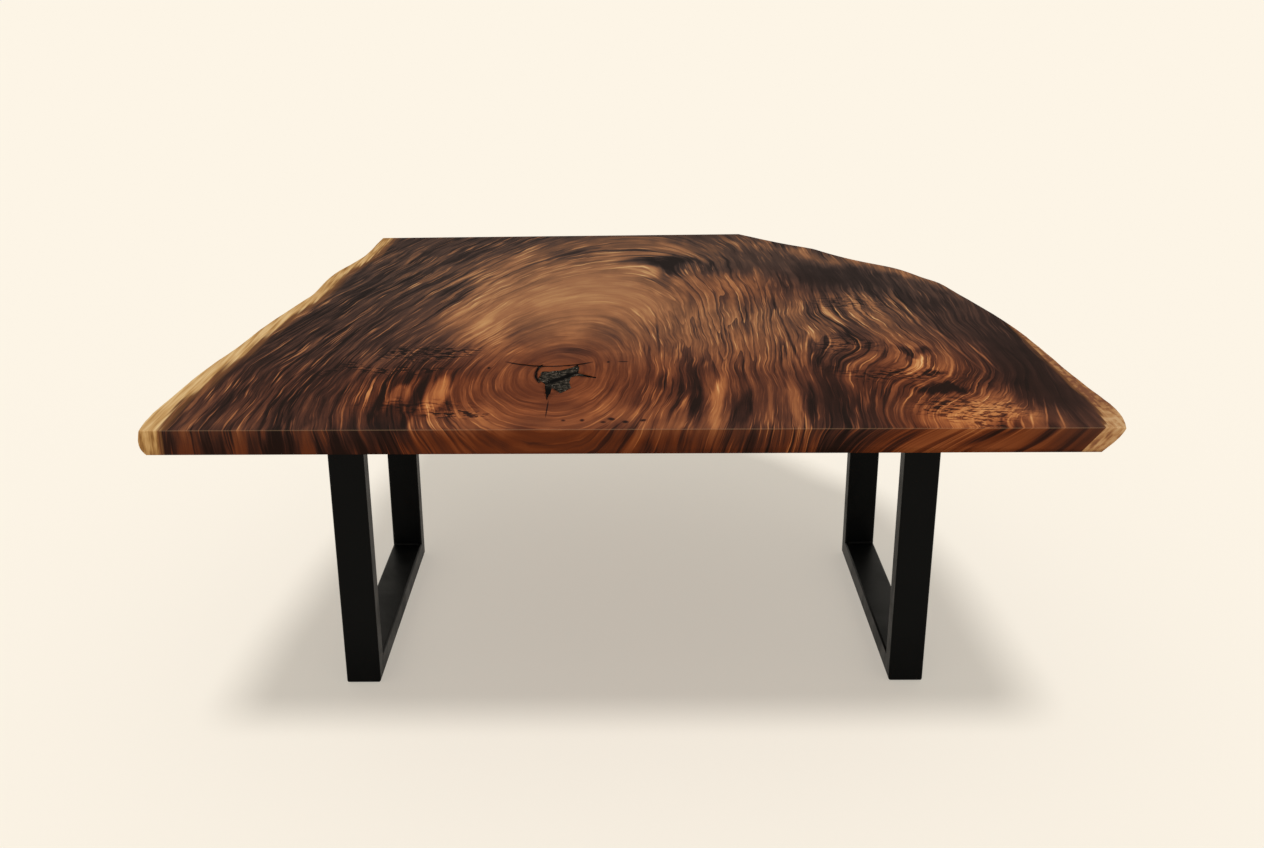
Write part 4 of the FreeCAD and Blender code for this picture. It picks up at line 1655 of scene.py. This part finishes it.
@dataclass
class Studio:
    """Pale floor, even light from all round, a soft key from above the front, and the camera."""

    floor_radius: float = 70.0
    floor_sides: int = 96
    paper: str = "fdf6e9"
    paper_roughness: float = 0.95
    glow: float = 0.42
    dome: float = 0.44
    dome_colour: str = "fffaf2"
    key_strength: float = 1.9
    key_angle: float = 12.0
    key_lean: float = 22.0
    camera_place: tuple[float, float, float] = (-0.0108, -2.9065, 1.5078)
    camera_pitch: float = 19.84
    camera_yaw: float = 0.139
    camera_roll: float = -0.139
    focal_length: float = 36.68
    sensor_width: float = 36.0
    sight: float = 200.0

    def build(self) -> None:
        """Sets up the whole studio."""
        bpy.context.scene.view_settings.view_transform = "Standard"
        self.floor()
        self.surroundings()
        self.key_light()
        self.camera()

    def seen_share(self, bench: Bench) -> Reading:
        """Builds a share that is one for what the camera sees, straight or in a gloss or through glass.

        Args:
            bench: where the nodes go.

        Returns:
            The share.
        """
        light = bench.node("LightPath").outputs
        seen = Reading(light["Is Camera Ray"]).larger(Reading(light["Is Glossy Ray"]))
        return seen.larger(Reading(light["Is Transmission Ray"]))

    def floor(self) -> None:
        """Lays the floor."""
        mesh = bmesh.new()
        bmesh.ops.create_circle(mesh, cap_ends=True, segments=self.floor_sides, radius=self.floor_radius)
        add_mesh("floor", mesh, self.paper_finish())

    def paper_finish(self) -> Material:
        """Builds the floor's finish: matt paper that keeps a pale shadow.

        Returns:
            The material.
        """
        material, bench, shader = principled("pale_paper")
        colour = tint(self.paper)
        feed(shader, Base_Color=colour, Roughness=self.paper_roughness, Specular_IOR_Level=0.0)
        glow = bench.node("Emission", Color=colour)
        share = self.seen_share(bench) * self.glow
        blend = fill(bench.node("MixShader"), share, shader.outputs[0], glow.outputs[0])
        feed(material.node_tree.nodes["Material Output"], Surface=blend.outputs[0])
        return material

    def surroundings(self) -> None:
        """Surrounds the table with even light."""
        world = bpy.data.worlds.new("studio")
        world.use_nodes = True
        bpy.context.scene.world = world
        bench = Bench(world.node_tree)
        lit = feed(world.node_tree.nodes["Background"], Color=tint(self.dome_colour), Strength=self.dome)
        seen = bench.node("Background", Color=tint(self.paper), Strength=1.0)
        blend = fill(bench.node("MixShader"), self.seen_share(bench), lit.outputs[0], seen.outputs[0])
        feed(world.node_tree.nodes["World Output"], Surface=blend.outputs[0])

    def key_light(self) -> None:
        """Hangs the soft key light above the front."""
        data = bpy.data.lights.new("key", "SUN")
        data.energy = self.key_strength
        data.angle = math.radians(self.key_angle)
        add_object("key", data).rotation_euler = (math.radians(self.key_lean), 0.0, 0.0)

    def camera(self) -> None:
        """Puts the camera where the photograph was taken from."""
        pitch, yaw, roll = (math.radians(angle) for angle in
                            (self.camera_pitch, self.camera_yaw, self.camera_roll))
        level = Vector((math.cos(yaw), -math.sin(yaw), 0.0))
        ahead = Vector((math.sin(yaw), math.cos(yaw), 0.0)) * math.cos(pitch)
        forward = ahead - Vector((0.0, 0.0, math.sin(pitch)))
        upright = level.cross(forward)
        right = level * math.cos(roll) + upright * math.sin(roll)
        up = upright * math.cos(roll) - level * math.sin(roll)
        data = bpy.data.cameras.new("camera")
        data.sensor_fit = "HORIZONTAL"
        data.sensor_width = self.sensor_width
        data.lens = self.focal_length
        data.clip_end = self.sight
        camera = add_object("camera", data)
        turn = Matrix((right, up, -forward)).transposed().to_4x4()
        camera.matrix_world = Matrix.Translation(self.camera_place) @ turn
        bpy.context.scene.camera = camera


def main() -> None:
    """Builds the table's pieces in order, then the studio, and notes the sizes."""
    logging.basicConfig(level=logging.INFO, format="%(name)s: %(message)s")
    handling = handling_group()
    coat, zinc, brass, rubber = (finish.dress(handling) for finish in
                                 (POWDER_COAT, ZINC_PLATE, INSERT_BRASS, PAD_RUBBER))
    knot_fill = KnotFill()
    slab = Slab()
    wood = Dress(FiguredWood(slab).material(handling), Slot.WOOD)
    finish_piece(slab.build(knot_fill), "figured_slab", wood, slab.node, slab.crease)
    resin = Dress(KnotResin().material(handling), Slot.RESIN)
    finish_piece(knot_fill.build(), "knot_resin", resin, knot_fill.node)
    for side in Side:
        Leg(side).build(coat, zinc, brass)
    Stiffeners().build(coat, zinc, brass)
    FloorPads().build(rubber)
    Studio().build()


if __name__ == "__main__":
    main()
